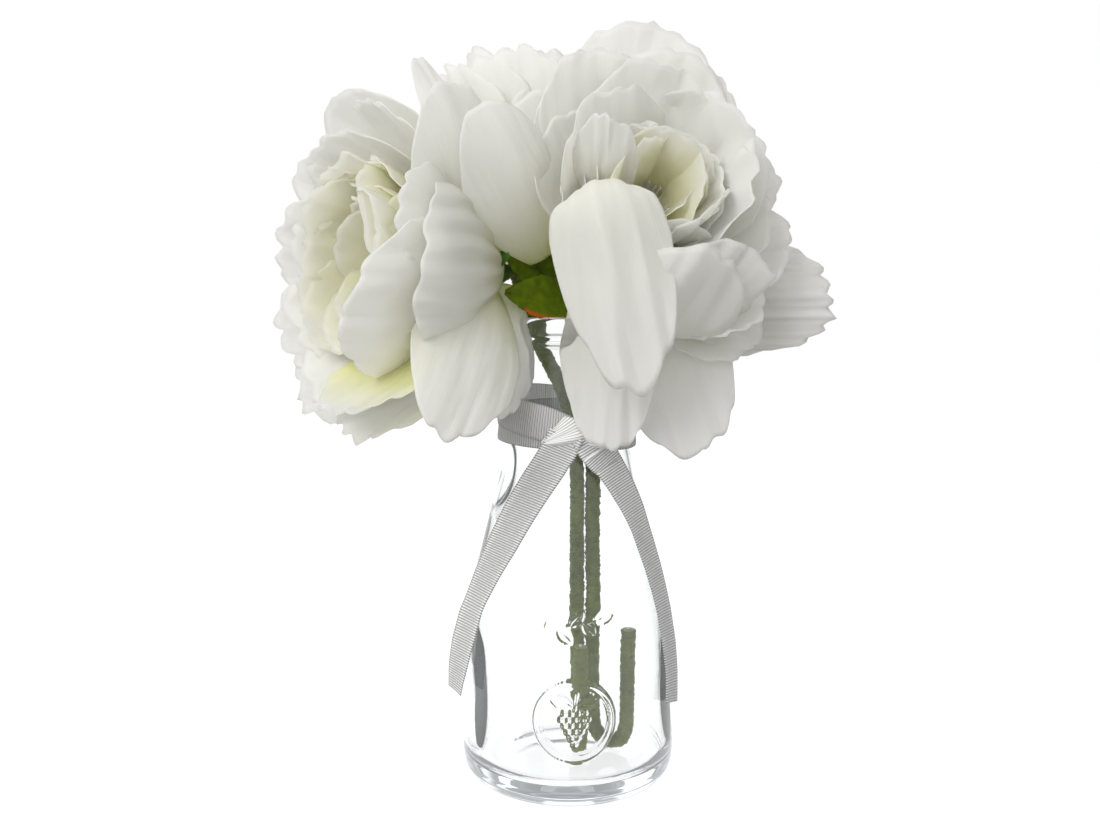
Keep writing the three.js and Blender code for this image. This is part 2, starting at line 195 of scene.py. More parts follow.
# %% Light from all round
def studio_world():
    """Light from all round, with dark cards that only the glass sees, and plain white for the camera."""
    world = bpy.data.worlds.new("studio")
    world.use_nodes = True
    tree = world.node_tree
    tree.nodes.clear()
    x, y, z = split(tree, new_node(tree, "ShaderNodeTexCoord").outputs["Generated"])
    rays = new_node(tree, "ShaderNodeLightPath")
    off_glass = Field(tree, rays.outputs["Is Singular Ray"])

    overhead = z.ramp(0.15, 0.75) * 0.12
    behind = y.ramp(0.2, 0.75) * (off_glass * 0.45 + 0.08)
    front = (-y).ramp(0.3, 0.9) * (z.ramp(-0.1, 0.6) * 0.3 + 0.3)  # brighter higher up
    left = (-x).ramp(-0.2, 0.8) * 0.38
    level = (overhead + behind + front + left + 0.5).do("MINIMUM", 1.1)

    sideways = x.abs()
    low = 1.0 - z.abs().ramp(0.12, 0.3)
    right_card = x.ramp(0.12, 0.18) * (1.0 - x.ramp(0.45, 0.6))
    left_card = (-x).ramp(0.14, 0.19) * (1.0 - (-x).ramp(0.3, 0.36))
    outer_cards = sideways.ramp(0.6, 0.68) * (1.0 - sideways.ramp(0.84, 0.92)) * low
    cards = (right_card + left_card + outer_cards * 0.8) * y.ramp(0.0, 0.3) * off_glass
    level = level * (1.0 - cards * 0.85)

    white = (1, 1, 1, 1)
    lit = new_node(tree, "ShaderNodeBackground", {"Color": white, "Strength": level})
    seen = new_node(tree, "ShaderNodeBackground", {"Color": white, "Strength": 1.0})
    whole = mixed(tree, rays.outputs["Is Camera Ray"], lit, seen)
    new_node(tree, "ShaderNodeOutputWorld", {"Surface": whole})
    scene.world = world


studio_world()
print("world: brightest from the front and the left, with dark cards for the glass")

# %% Lamps and floor
def soft_light(name, place, aim, size, power):
    """A round soft lamp, kept out of mirror rays so that it leaves no spots on the glass."""
    light = bpy.data.lights.new(name, "AREA")
    light.shape = "DISK"
    light.size = size
    light.energy = power
    lamp = add_object(name, light)
    lamp.location = place
    lamp.rotation_euler = (Vector(aim) - Vector(place)).to_track_quat("-Z", "Y").to_euler()
    lamp.visible_glossy = False
    lamp.visible_transmission = False


def pale_floor():
    """A wide floor just under the bottle.

    It sends less light up into the flowers than into the glass, as a floor does in their shade.
    """
    half, drop = 3.0, 0.2 * MM
    mesh = bpy.data.meshes.new("floor")
    corners = [(-half, -half), (half, -half), (half, half), (-half, half)]
    mesh.from_pydata([(x, y, -drop) for x, y in corners], [], [(0, 1, 2, 3)])
    material, tree, shader = new_material("pale_floor")
    onto_cloth = Field(tree, new_node(tree, "ShaderNodeLightPath").outputs["Is Diffuse Ray"])
    fill(tree, shader, {
        "Base Color": (0.22, 0.22, 0.22, 1), "Roughness": 0.6,
        "Emission Color": (1, 1, 1, 1), "Emission Strength": 0.9 - onto_cloth * 0.72,
    })
    mesh.materials.append(material)
    add_object("floor", mesh)


soft_light("key", (-0.45, -0.8, 0.65), (0, 0, 0.18), 0.5, 5.2)
soft_light("rim", (0.4, 0.8, 0.8), (0, 0, 0.2), 0.6, 1.0)
pale_floor()
print("two soft lamps and a pale floor")

# %% [markdown]
# ## The flower heads
#
# An artificial peony is a stack of die-cut cloth layers threaded on the pin of a green calyx. Each
# layer is a star of petals that were pressed hot between two dies, which gives them their cup, their
# pleats and their wavy rims. One petal could be sculpted by hand and copied, but then all would look
# alike. Here a petal is a rule instead: a small flat grid, bent by a few numbers such as its length,
# how far it leans at its base and at its tip, and how deep it cups. A Geometry Nodes tree puts one grid
# on each point of a layer and reads the numbers from that point, so every petal can be its own.
#
# Clock angles run clockwise for someone who looks into the flower, from the top. A lean of 0 degrees
# stands straight up out of the flower and 90 lies flat.

# %% Where each head sits
CALYX_CUP = 9 * MM  # how far a calyx's cup reaches below the petals


def points_of(node):
    """The corners of one of the frame's solids."""
    mesh = nodes[node].data
    flat = np.zeros(len(mesh.vertices) * 3)
    mesh.vertices.foreach_get("co", flat)
    return flat.reshape(-1, 3)


def head_frame(head):
    """The head's place and aim, from its calyx: +Z out along the pin and +Y as near upright as may be."""
    calyx = points_of(f"{head}_calyx")
    middle = calyx.mean(0)
    axis = np.linalg.svd(calyx - middle)[2][0]
    if axis @ (points_of(f"{head}_heart").mean(0) - middle) < 0:
        axis = -axis
    along = (calyx - middle) @ axis
    out = Vector(axis)
    base = Vector(middle + axis * (along.min() + CALYX_CUP))
    right = Vector((0, 0, 1)).cross(out).normalized()
    top = out.cross(right)
    turn = Matrix((right, top, out)).transposed()
    return Matrix.Translation(base) @ turn.to_4x4()


HEAD_FRAMES = {head: head_frame(head) for head in ("left", "right", "top", "rear")}
for head, matrix in HEAD_FRAMES.items():
    print(f"{head} head at {[round(v / MM) for v in matrix.translation]} mm")

# %% Petal numbers
# Lengths are in millimetres and angles in degrees until they reach the tree.
PETAL_DEFAULTS = {
    "clock": 0,       # the way it points
    "lean": 60,       # how far its base leans out of the flower's axis
    "tip": 30,        # and how far its tip does
    "length": 65,
    "width": 46,
    "cup": 22,        # how far the sides curl in, in degrees at the rim
    "tilt": 9,        # lifts one side over the next petal
    "bend_from": 0.0,  # the share of its length where its bend starts
    "bend_to": 1.0,   # and where it ends
    "curl": 1.0,      # how far the rim rolls outwards
    "ruffle": 2.0,    # how far the rim waves
    "pleat": 0.0,     # depth of the pressed folds that fan out from the base
    "folds": 7,
    "scallop": 0.025,  # how deep the notches between the rim's lobes are
    "lobes": 6.0,
    "point": 0.30,    # how far the corners of the rim drop back
    "neck": 0.34,     # the base's width as a share of the petal's
    "full_at": 0.56,  # the share of its length where it reaches its full width
    "seed": 0.0,
}
ANGLES = ("clock", "lean", "tip", "cup", "tilt")
LENGTHS = ("length", "width", "curl", "ruffle", "pleat")


def petal_points(name, petals):
    """A mesh of bare points, one for each petal, that carry the petals' numbers."""
    mesh = bpy.data.meshes.new(name)
    mesh.from_pydata([(0, 0, 0)] * len(petals), [], [])
    for key in PETAL_DEFAULTS:
        values = [petal[key] for petal in petals]
        if key in ANGLES:
            values = [math.radians(value) for value in values]
        if key in LENGTHS:
            values = [value * MM for value in values]
        mesh.attributes.new(key, "FLOAT", "POINT").data.foreach_set("value", values)
    return add_object(name, mesh)


print(f"a petal is {len(PETAL_DEFAULTS)} numbers")

# %% [markdown]
# A tree gets bare points and gives back finished cloth. These helpers start and end every tree in this
# file: its sizes are named inputs, and it ends in real mesh with its material.

# %% Tree helpers
def start_tree(name, inputs):
    """A Geometry Nodes tree with a geometry in and out, and named inputs given as (name, kind)."""
    tree = bpy.data.node_groups.new(name, "GeometryNodeTree")
    tree.interface.new_socket("Geometry", in_out="INPUT", socket_type="NodeSocketGeometry")
    tree.interface.new_socket("Geometry", in_out="OUTPUT", socket_type="NodeSocketGeometry")
    for label, kind in inputs:
        tree.interface.new_socket(label, in_out="INPUT", socket_type=f"NodeSocket{kind}")
    return tree, tree.nodes.new("NodeGroupInput").outputs


def end_tree(tree, geometry, cloth):
    """Every tree ends in real mesh with its material, because instances don't reach the export."""
    real = new_node(tree, "GeometryNodeRealizeInstances", {"Geometry": geometry})
    smooth = new_node(tree, "GeometryNodeSetShadeSmooth", {"Geometry": real.outputs[0]})
    dressed = new_node(tree, "GeometryNodeSetMaterial", {"Geometry": smooth.outputs[0], "Material": cloth})
    tree.links.new(dressed.outputs[0], tree.nodes.new("NodeGroupOutput").inputs[0])


def read_number(tree, name):
    """A number that the tree's points carry."""
    node = new_node(tree, "GeometryNodeInputNamedAttribute", {"Name": name}, data_type="FLOAT")
    return Field(tree, node.outputs["Attribute"])


def keep_number(tree, geometry, name, value):
    """Stores a number on every point, for the material to read."""
    inputs = {"Geometry": geometry, "Name": name, "Value": value}
    node = new_node(tree, "GeometryNodeStoreNamedAttribute", inputs, data_type="FLOAT", domain="POINT")
    return node.outputs[0]


def grown(host, tree, values):
    """Runs a tree on an object and gives back its result as a plain mesh object of the same name."""
    modifier = host.modifiers.new("grow", "NODES")
    modifier.node_group = tree
    for item in tree.interface.items_tree:
        if item.item_type == "SOCKET" and item.in_out == "INPUT" and item.name in values:
            modifier[item.identifier] = values[item.name]
    evaluated = host.evaluated_get(bpy.context.evaluated_depsgraph_get())
    mesh = bpy.data.meshes.new_from_object(evaluated)
    name = host.name
    bpy.data.objects.remove(host)
    return add_object(name, mesh)


# %% [markdown]
# A petal starts as a flat square grid. First its rim is cut: rounded corners and lobes with notches
# between them. Then its spine is bent from the lean at its base to the lean at its tip, and its sides
# are drawn in towards the base and cupped. Last comes what makes it cloth and not sheet metal: a slow
# wander, waves towards the rim, crinkles, pressed folds and a rolled edge.

# %% One petal's shape
def petal_rim(tree, p, across, up):
    """Rounded corners, an uneven edge, and lobes with a notch between each two.

    Gives each grid point's place along the petal, and how far out on a lobe it is.
    """
    rim_spot = join(tree, across * 1.9, p["seed"] * 7.3, 0.0)
    uneven = noise(tree, rim_spot)
    lobe = ((across * p["lobes"] + uneven * 3.0 + p["seed"]) * (math.pi / 2)).sin().abs() ** 0.8
    corners = across.abs() ** 2.6 * p["point"]
    along = up * (1.0 - corners - (1.0 - lobe) * p["scallop"] - (uneven + 0.3) * 0.1)
    return along, lobe


def petal_spine(p, along, hole, seat):
    """The petal's middle line: how far out and how high it is, and which way is inwards from it."""
    # The bend is spread evenly over a stretch, so its length is shared between the two leans.
    bend_length = p["bend_to"] - p["bend_from"]
    bent = (along - p["bend_from"]).do("MAXIMUM", 0.0).do("MINIMUM", bend_length)
    turned = bent * bent / bend_length * 0.5 + (along - p["bend_to"]).do("MAXIMUM", 0.0)
    first = p["length"] * (along - turned)
    second = p["length"] * turned
    reach = first * p["lean"].sin() + second * p["tip"].sin() + hole
    rise = first * p["lean"].cos() + second * p["tip"].cos() + seat
    share = bent / bend_length
    outwards = p["lean"].sin() * (1.0 - share) + p["tip"].sin() * share
    upwards = p["lean"].cos() * (1.0 - share) + p["tip"].cos() * share
    size = (outwards * outwards + upwards * upwards) ** 0.5
    return reach, rise, -(upwards / size), outwards / size


def petal_half_width(p, along):
    """Narrow at the base, full further on."""
    opened = (along / p["full_at"]).do("MINIMUM", 1.0) * (math.pi / 2)
    return p["width"] * 0.5 * (p["neck"] + (1.0 - p["neck"]) * opened.sin() ** 0.9)


def petal_relief(tree, p, across, along, lobe):
    """What sets pressed cloth off from an even bowl, each as a distance inwards."""
    shape_spot = join(tree, across * 1.3, along * 1.6, p["seed"] * 3.7)
    wander = noise(tree, shape_spot) * p["ruffle"] * 3.4 * along
    wave_spot = join(tree, across * 2.0, along * 1.2, p["seed"] * 5.1)
    waving = noise(tree, wave_spot) * p["ruffle"] * 5.0 * along ** 3.0
    crinkle_spot = join(tree, across * 4.6, along * 2.4, p["seed"] * 11.3)
    crinkled = noise(tree, crinkle_spot, detail=2.0) * p["ruffle"] * 0.9 * along.ramp(0.05, 0.6)
    folded = (across * p["folds"] * math.pi + p["seed"]).cos() * p["pleat"]
    folded = folded * along.ramp(0.02, 0.25) * (1.15 - along * 0.6)
    puffed = (lobe - 0.7) * p["scallop"] * p["length"] * 0.7 * along.ramp(0.55, 1.0)
    rolled = p["curl"] * (along.ramp(0.55, 1.05) * 1.6 + across.abs() ** 4.0 * along)
    return wander, waving, crinkled, folded, -puffed, -rolled


# %% The petal tree
def petal_tree():
    """Puts a grid on each point and bends it by the numbers that the point carries."""
    tree, given = start_tree("petals", [
        ("Columns", "Int"), ("Rows", "Int"), ("Hole", "Float"), ("Seat", "Float"),
        ("Place", "Vector"), ("Turn", "Vector"), ("Cloth", "Material"),
    ])
    grid = new_node(tree, "GeometryNodeMeshGrid", {
        "Size X": 1.0, "Size Y": 1.0, "Vertices X": given["Columns"], "Vertices Y": given["Rows"]})
    copies = new_node(tree, "GeometryNodeInstanceOnPoints", {
        "Points": given["Geometry"], "Instance": grid.outputs["Mesh"]})
    real = new_node(tree, "GeometryNodeRealizeInstances", {"Geometry": copies.outputs[0]})

    p = {key: read_number(tree, key) for key in PETAL_DEFAULTS}
    hole, seat = Field(tree, given["Hole"]), Field(tree, given["Seat"])
    flat_x, flat_y, _ = split(tree, new_node(tree, "GeometryNodeInputPosition").outputs[0])
    across = flat_x * 2.0
    along, lobe = petal_rim(tree, p, across, flat_y + 0.5)
    reach, rise, inward_r, inward_z = petal_spine(p, along, hole, seat)
    half = petal_half_width(p, along)

    bend = across * p["cup"] + 0.0001  # never quite 0, because its sine is divided by it
    sideways = half * across * (bend.sin() / bend)
    lifted = half * across * ((1.0 - bend.cos()) / bend)
    lean_over = half * across * p["tilt"].sin()
    inward = sum(petal_relief(tree, p, across, along, lobe), lifted + lean_over)
    radius = reach + inward * inward_r
    height = rise + inward * inward_z
    clock_sin = p["clock"].sin()
    clock_cos = p["clock"].cos()
    x = radius * clock_sin + sideways * clock_cos
    y = radius * clock_cos - sideways * clock_sin

    # These are stored while the grid is still flat, because a field is worked out where it is used.
    kept = keep_number(tree, real.outputs[0], "petal_along", along)
    kept = keep_number(tree, kept, "petal_across", across)
    kept = keep_number(tree, kept, "petal_seed", p["seed"])
    shaped = new_node(tree, "GeometryNodeSetPosition", {
        "Geometry": kept, "Position": join(tree, x, y, height)})
    placed = new_node(tree, "GeometryNodeTransform", {
        "Geometry": shaped.outputs[0], "Translation": given["Place"], "Rotation": given["Turn"]})
    end_tree(tree, placed.outputs[0], given["Cloth"])
    return tree


GROW_PETALS = petal_tree()
print(f"petal tree: {len(GROW_PETALS.nodes)} nodes")

# %% [markdown]
# ## Cloth for the petals
#
# The petals are thin pressed polyester, matt, and they glow where light comes from behind. A plain
# white finish would leave every petal in shade grey. So more than half of it lets light through, and
# the rest is matt cloth with a little sheen at grazing angles. The dye is sprayed from the middle: a
# breath of yellow-green at each petal's base that fades into white, which the tree's own "petal_along"
# number places. The weave is a fine bump that follows the petal.

# %% Petal cloth
def ramp_colours(tree, factor, stops):
    """A colour that changes with a number, through (place, colour) stops."""
    node = new_node(tree, "ShaderNodeValToRGB", {"Fac": factor})
    ramp = node.color_ramp
    while len(ramp.elements) < len(stops):
        ramp.elements.new(1.0)
    for element, (place, colour) in zip(ramp.elements, stops):
        element.position = place
        element.color = (*colour, 1)
    return node.outputs["Color"]


def shader_number(tree, name):
    """A number that the mesh carries, read in a material."""
    node = new_node(tree, "ShaderNodeAttribute", attribute_name=name)
    return Field(tree, node.outputs["Fac"])


def let_light_through(tree, shader, colour, bump, share):
    """Mixes in a share of the light that falls on thin cloth from behind and glows through it."""
    glow = new_node(tree, "ShaderNodeBsdfTranslucent", {"Color": colour, "Normal": bump.outputs[0]})
    fill(tree, tree.nodes["Material Output"], {"Surface": mixed(tree, share, shader, glow)})


def petal_cloth(name, see_through, stops):
    """Thin pressed cloth: stops give its colour from a petal's base to its rim."""
    material, tree, shader = new_material(name)
    along = shader_number(tree, "petal_along")
    across = shader_number(tree, "petal_across")
    seed = shader_number(tree, "petal_seed")
    dye_spot = join(tree, across * 2.2, along * 2.0, seed * 9.1)
    colour = ramp_colours(tree, along + noise(tree, dye_spot, 1.6, 2.0) * 0.22, stops)
    veins = noise(tree, join(tree, across * 26.0, along * 1.4, seed), 1.0, 2.0)
    threads = (across * 300.0).sin() * (along * 460.0).sin()
    creases = noise(tree, join(tree, across * 6.0, along * 3.0, seed * 5.0), 1.0, 3.0)
    relief = veins * 0.6 + threads * 0.08 + creases * 3.0
    bump = new_node(tree, "ShaderNodeBump", {"Strength": 0.25, "Distance": 0.4 * MM, "Height": relief})
    fill(tree, shader, {
        "Base Color": colour, "Roughness": 0.62, "Specular IOR Level": 0.25,
        "Sheen Weight": 0.12, "Sheen Roughness": 0.5, "Normal": bump.outputs[0],
    })
    warmth = {"Factor": 1.0, "A": colour, "B": (1.0, 0.998, 0.975, 1)}
    warm = new_node(tree, "ShaderNodeMix", warmth, data_type="RGBA", blend_type="MULTIPLY")
    let_light_through(tree, shader, warm.outputs["Result"], bump, see_through)
    return material


WHITE = (0.96, 0.958, 0.95)
WHITE_CLOTH = petal_cloth("white_petal_cloth", 0.62, [
    (0.0, (0.84, 0.85, 0.50)), (0.15, (0.925, 0.925, 0.79)), (0.38, (0.955, 0.953, 0.92)), (0.75, WHITE),
])
# One opened petal at the lower left shows its yellow-green throat over half its length.
THROAT_CLOTH = petal_cloth("throat_petal_cloth", 0.66, [
    (0.0, (0.84, 0.86, 0.46)), (0.55, (0.93, 0.93, 0.66)), (0.75, (0.945, 0.945, 0.82)), (0.95, WHITE),
])
# The inner petals were dyed cream almost to their rims.
CREAM_CLOTH = petal_cloth("cream_petal_cloth", 0.75, [
    (0.0, (0.93, 0.92, 0.60)), (0.35, (0.95, 0.94, 0.74)), (0.7, (0.955, 0.95, 0.84)), (1.0, WHITE),
])
print("petal cloth: white, opened throat and cream")

# %% [markdown]
# ## The petals of each head
#
# The outer layers are listed petal by petal, because they are what one sees: which way each points,
# how far it leans and how wide it is. The inner layers are regular rings, and a seeded random
# generator gives each of their petals its own small differences.

# %% Petals in rings
CLOTH_THICKNESS = 0.2 * MM
PIN_HOLE = 3.4 * MM  # how far from the pin a layer's petals start
UNEVEN = {"clock": 5, "lean": 4, "tip": 8, "length": 0.06, "width": 0.10}  # the most a petal differs


def petal(clock, lean, tip, length, width=46, **others):
    """One petal's numbers. Its seed follows from its place, so that no two have the same creases."""
    return {**PETAL_DEFAULTS, "clock": clock, "lean": lean, "tip": tip, "length": length,
            "width": width, "seed": clock * 0.137 + length, **others}


def petal_ring(count, first, lean, tip, length, width, seed, towards=0, swing=0, **others):
    """Equal petals all round, each a little different. swing leans the whole ring towards a clock angle."""
    chance = np.random.default_rng(seed)
    petals = []
    for i in range(count):
        turned, leaned, tipped, longer, wider = chance.uniform(-1, 1, 5)
        clock = first + 360 * i / count + UNEVEN["clock"] * turned
        over = swing * math.cos(math.radians(clock - towards))
        petals.append(petal(
            clock, lean + over + UNEVEN["lean"] * leaned, tip + over + UNEVEN["tip"] * tipped,
            length * (1 + UNEVEN["length"] * longer), width * (1 + UNEVEN["width"] * wider),
            **{**others, "seed": seed + i * 1.7}))
    return petals


print(f"a petal is up to {UNEVEN['clock']} degrees and {UNEVEN['length']:.0%} of its length off its ring")

# %% [markdown]
# Each layer becomes one piece: the tree grows it, a Solidify modifier gives the cloth its thickness, and
# the frame is told which solid it stands for. A petal with a pose of its own goes the same way, only
# its place and turn are its own and not its head's.

# %% Cloth in place
def hand_over(piece, slot, *replaced):
    """Tells the frame what a piece rides on and which solids it stands for; slot is not used."""
    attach(piece, "root")
    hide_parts(*replaced)


def thicken(piece, thickness):
    """Gives a sheet its thickness, half to each side."""
    wall = piece.modifiers.new("cloth", "SOLIDIFY")
    wall.thickness = thickness
    wall.offset = 0


def make_cloth(name, node, petals, matrix, hole, seat, cloth, slot, columns=27, rows=27):
    """Petals grown in place, given a thickness and handed to the frame."""
    piece = grown(petal_points(name, petals), GROW_PETALS, {
        "Columns": columns, "Rows": rows, "Hole": hole, "Seat": seat * MM,
        "Place": matrix.translation, "Turn": matrix.to_euler(), "Cloth": cloth,
    })
    thicken(piece, CLOTH_THICKNESS)
    hand_over(piece, slot, node)


def make_layer(head, layer, petals, seat, cloth, slot="petal", **grid):
    """One die-cut layer, threaded on the head's pin."""
    node = f"{head}_{layer}"
    make_cloth(f"{node}_cloth", node, petals, HEAD_FRAMES[head], PIN_HOLE, seat, cloth, slot, **grid)


def posed_petal(name, node, base, tip, inward, bow, width, bend=(0, 1), cloth=WHITE_CLOTH, **others):
    """A petal with a pose of its own: from base to tip in mm, its inner face towards inward.

    It bows outwards between the two by an angle, or inwards where the angle is negative.
    """
    base, tip = Vector(base), Vector(tip)
    chord = tip - base
    radial = chord.normalized()
    face = Vector(inward)
    face = (face - radial * face.dot(radial)).normalized()
    turn = Matrix((radial.cross(face), radial, face)).transposed()
    matrix = Matrix.Translation(base * MM) @ turn.to_4x4()
    before = sum(bend) / 2  # the share of its length that still points as its base does
    start = math.radians(bow)
    end = math.asin(before / (1 - before) * math.sin(start))
    length = chord.length / (before * math.cos(start) + (1 - before) * math.cos(end))
    numbers = {"tilt": 0, "bend_from": bend[0], "bend_to": bend[1], "seed": chord.x * 1.3, **others}
    shape = petal(0, 90 + bow, 90 - math.degrees(end), length, width, **numbers)
    make_cloth(f"{name}_petal_cloth", node, [shape], matrix, 0.0, 0.0, cloth, "petal", columns=45, rows=41)


# %% [markdown]
# A layer is given as how high it sits on the pin, in mm, and its petals. The left head looks to the left
# and shows its open side, the right one looks forward, and the other two stand behind them.

# %% Petal layers
LEFT_INNER = petal_ring(8, 0, 55, 4, 54, 46, 12, towards=270, swing=6, cup=32, ruffle=3)
LEFT_INNER[4] = petal(180, 52, 4, 42, 42, cup=32, ruffle=3)  # short, under a petal that was pulled forward

LAYERS = {
    "left": {
        "guard_petals": (2.2, [
            petal(183, 70, 30, 77, 50, cup=24, scallop=0.035, lobes=6, ruffle=3),
            petal(217, 71, 21, 83, 54, cup=28, scallop=0.035, lobes=6, ruffle=3),
            petal(242, 68, 13, 83, 54, cup=30, scallop=0.04),
            petal(279, 66, 11, 82, 52, cup=30, scallop=0.04),
            petal(305, 69, 19, 80, 48, cup=28),
            petal(328, 78, 30, 84, 62, cup=26, scallop=0.015, lobes=4, point=0.36),
        ]),
        "outer_petals": (5, [
            petal(201, 63, 13, 74, 54, cup=32, scallop=0.035, lobes=6, ruffle=3),
            petal(241, 61, 1, 72, 54, cup=36, scallop=0.04),
            petal(284, 59, -1, 71, 52, cup=36, scallop=0.04),
            petal(323, 68, 13, 73, 52, cup=32),
            petal(352, 74, 28, 70, 46, cup=30),
        ]),
        "ruffle_petals": (7.5, [
            petal(179, 58, 0, 54, 46, cup=36, ruffle=3),
            petal(227, 56, -4, 64, 48, cup=36, ruffle=3),
            petal(262, 57, -4, 64, 46, cup=36, ruffle=3),
            petal(300, 56, -4, 64, 48, cup=36, ruffle=3),
            petal(338, 60, 2, 64, 46, cup=34, ruffle=3),
            petal(16, 58, 8, 52, 42, cup=30, ruffle=3),
            petal(57, 57, 7, 46, 36, cup=30, ruffle=3),
            petal(99, 57, 7, 46, 38, cup=30, ruffle=3),
            petal(135, 56, 1, 45, 40, cup=34, ruffle=3),
        ]),
        "inner_petals": (10, LEFT_INNER),
    },
    "right": {
        "guard_petals": (2.2, [
            petal(9, 75, 42, 76, 62, cup=24, scallop=0.03, lobes=7),
            petal(32, 78, 38, 68, 50, cup=26),
            petal(68, 85, 44, 62, 46, cup=28, scallop=0.03),
            petal(98, 96, 46, 64, 48, cup=30),
            petal(135, 108, 58, 62, 48, cup=28),
            petal(262, 66, 14, 44, 40, cup=30),
            petal(348, 82, 42, 62, 50, cup=26),
        ]),
        "outer_petals": (5, [
            petal(348, 77, 37, 65, 50, cup=30),
            petal(19, 75, 34, 68, 54, cup=30),
            petal(60, 76, 30, 60, 52, cup=34),
            petal(98, 84, 24, 57, 50, cup=36),
            petal(140, 100, 40, 61, 50, cup=34),
            petal(321, 78, 30, 48, 46, cup=32),
            petal(280, 60, 8, 40, 40, cup=32),
        ]),
        "ruffle_petals": (7.5, [
            petal(5, 60, 10, 62, 50, cup=36, ruffle=3),
            petal(50, 58, 6, 62, 48, cup=36, ruffle=3),
            petal(95, 54, 0, 58, 46, cup=36, ruffle=3),
            petal(135, 44, -6, 50, 42, cup=34, ruffle=3),
            petal(175, 34, -6, 36, 34, cup=32, ruffle=2),
            petal(222, 34, -6, 36, 34, cup=32, ruffle=2),
            petal(272, 48, 4, 40, 38, cup=32, ruffle=2),
            petal(320, 54, 4, 60, 48, cup=36, ruffle=3),
        ]),
        "inner_petals": (10, [
            *petal_ring(7, 30, 40, 6, 42, 40, 22, towards=32, swing=2, cup=34, ruffle=2.2)[:4],
            petal(236, 34, 2, 25, 30, cup=34),  # short, behind the petals that were pulled forward
            petal(288, 34, 2, 25, 30, cup=34),
            petal(339, 40, 6, 41, 40, cup=34, ruffle=2.2),
        ]),
    },
    "top": {
        "guard_petals": (2.2, [
            petal(2, 62, 42, 58, 44),
            petal(105, 46, 24, 66, 46, cup=28),
            petal(160, 76, 66, 74, 52),
            petal(215, 78, 66, 74, 52),
            petal(275, 64, 40, 68, 52),
            petal(325, 56, 24, 60, 46),
        ]),
        "outer_petals": (5, petal_ring(7, 25, 48, 14, 72, 52, 31, cup=32, scallop=0.04)),
        "ruffle_petals": (7.5, petal_ring(7, 0, 40, 2, 72, 48, 32, cup=36, ruffle=3.0)),
        "inner_petals": (10, petal_ring(7, 30, 32, -8, 58, 40, 33, cup=36, ruffle=3.2)),
    },
    "rear": {
        "guard_petals": (2.2, [
            petal(0, 44, 10, 52, 46, cup=30),
            petal(60, 70, 50, 62, 48, pleat=1.0),
            petal(120, 70, 50, 62, 48, pleat=1.0),
            petal(180, 44, 10, 52, 46, cup=30),
            petal(222, 40, 10, 58, 40, cup=28, pleat=0.6, ruffle=3, scallop=0.04),
            petal(258, 46, 18, 68, 42, cup=28, pleat=1.5, ruffle=3.4, scallop=0.04, lobes=7),
        ]),
        "outer_petals": (5, petal_ring(6, 30, 36, 0, 54, 42, 41, cup=34)),
        "ruffle_petals": (7.5, petal_ring(7, 0, 32, -6, 49, 38, 42, cup=36, ruffle=3.0)),
        "inner_petals": (10, petal_ring(7, 30, 26, -8, 43, 32, 43, cup=36, ruffle=3.2)),
    },
}
print(f"{sum(len(layers) for layers in LAYERS.values())} petal layers")

# %% [markdown]
# The middle of each head is a ring or two of upright cream petals. The two heads that are seen from in
# front also have a tuft of thread-like stamens there, which hides the bare pin.

# %% Hearts
STAMENS = 26
STAMEN_WIDTH = 1.8  # in mm


def stamens(length, seed, towards):
    """The tuft of threads in the middle of a heart, as very narrow petals."""
    return petal_ring(STAMENS, 5, 10, 6, length, STAMEN_WIDTH, seed, towards, 6,
                      cup=0, ruffle=1.2, neck=0.6, scallop=0)


LEFT_HEART = petal_ring(5, 54, 47, 6, 50, 48, 65, towards=270, swing=8, cup=24, ruffle=1.6, neck=0.3)
LEFT_HEART[4] = petal(342, 47, 6, 40, 44, cup=24, ruffle=1.6, neck=0.3)  # short, like the one under it
# The right heart's petals, as (clock, lean, length).
RIGHT_HEART = [(325, 20, 39), (20, 22, 41), (75, 20, 39), (125, 16, 31), (280, 12, 24)]
HEARTS = {
    "left": [
        *LEFT_HEART,
        *petal_ring(4, 20, 31, 4, 42, 38, 61, towards=270, swing=6, cup=26, ruffle=1.4, neck=0.3),
        *stamens(17, seed=66, towards=270),
    ],
    "right": [
        *(petal(clock, lean, 2, length, 35, cup=34, ruffle=1.2, neck=0.24)
          for clock, lean, length in RIGHT_HEART),
        *stamens(18, seed=63, towards=32),
    ],
    "top": petal_ring(9, 20, 28, -12, 40, 26, 64, cup=30, ruffle=3.0, neck=0.24),
    "rear": petal_ring(9, 20, 28, -12, 34, 22, 65, cup=30, ruffle=3.0, neck=0.24),
}
print(f"{len(HEARTS)} hearts, two of them with {STAMENS} stamens")

# %% Heads grown
CREAM_LAYERS = {
    "left": ("ruffle_petals", "inner_petals"),
    "right": (),
    "top": ("inner_petals",),
    "rear": ("inner_petals",),
}
for head, layers in LAYERS.items():
    for layer, (seat, petals) in layers.items():
        cloth = CREAM_CLOTH if layer in CREAM_LAYERS[head] else WHITE_CLOTH
        slot = "cream_petal" if layer == "inner_petals" else "petal"
        make_layer(head, layer, petals, seat, cloth, slot=slot)
    make_layer(head, "heart", HEARTS[head], 12, CREAM_CLOTH, slot="cream_petal", columns=15, rows=21)
    widths = [numbers["width"] for _, petals in layers.values() for numbers in petals]
    widths += [numbers["width"] for numbers in HEARTS[head]]
    threads = sum(width < 2 * STAMEN_WIDTH for width in widths)
    print(f"{head} head: {len(widths) - threads} petals and {threads} stamens")

# %% [markdown]
# Some petals have been pulled and folded out of their ring by hand, as one does to fluff up a bought
# flower. They are the large ones at the front, and each gets its own base, tip and bow. A ring can't
# hold them, because some of them fold over forward and some hang down over the bottle's neck.

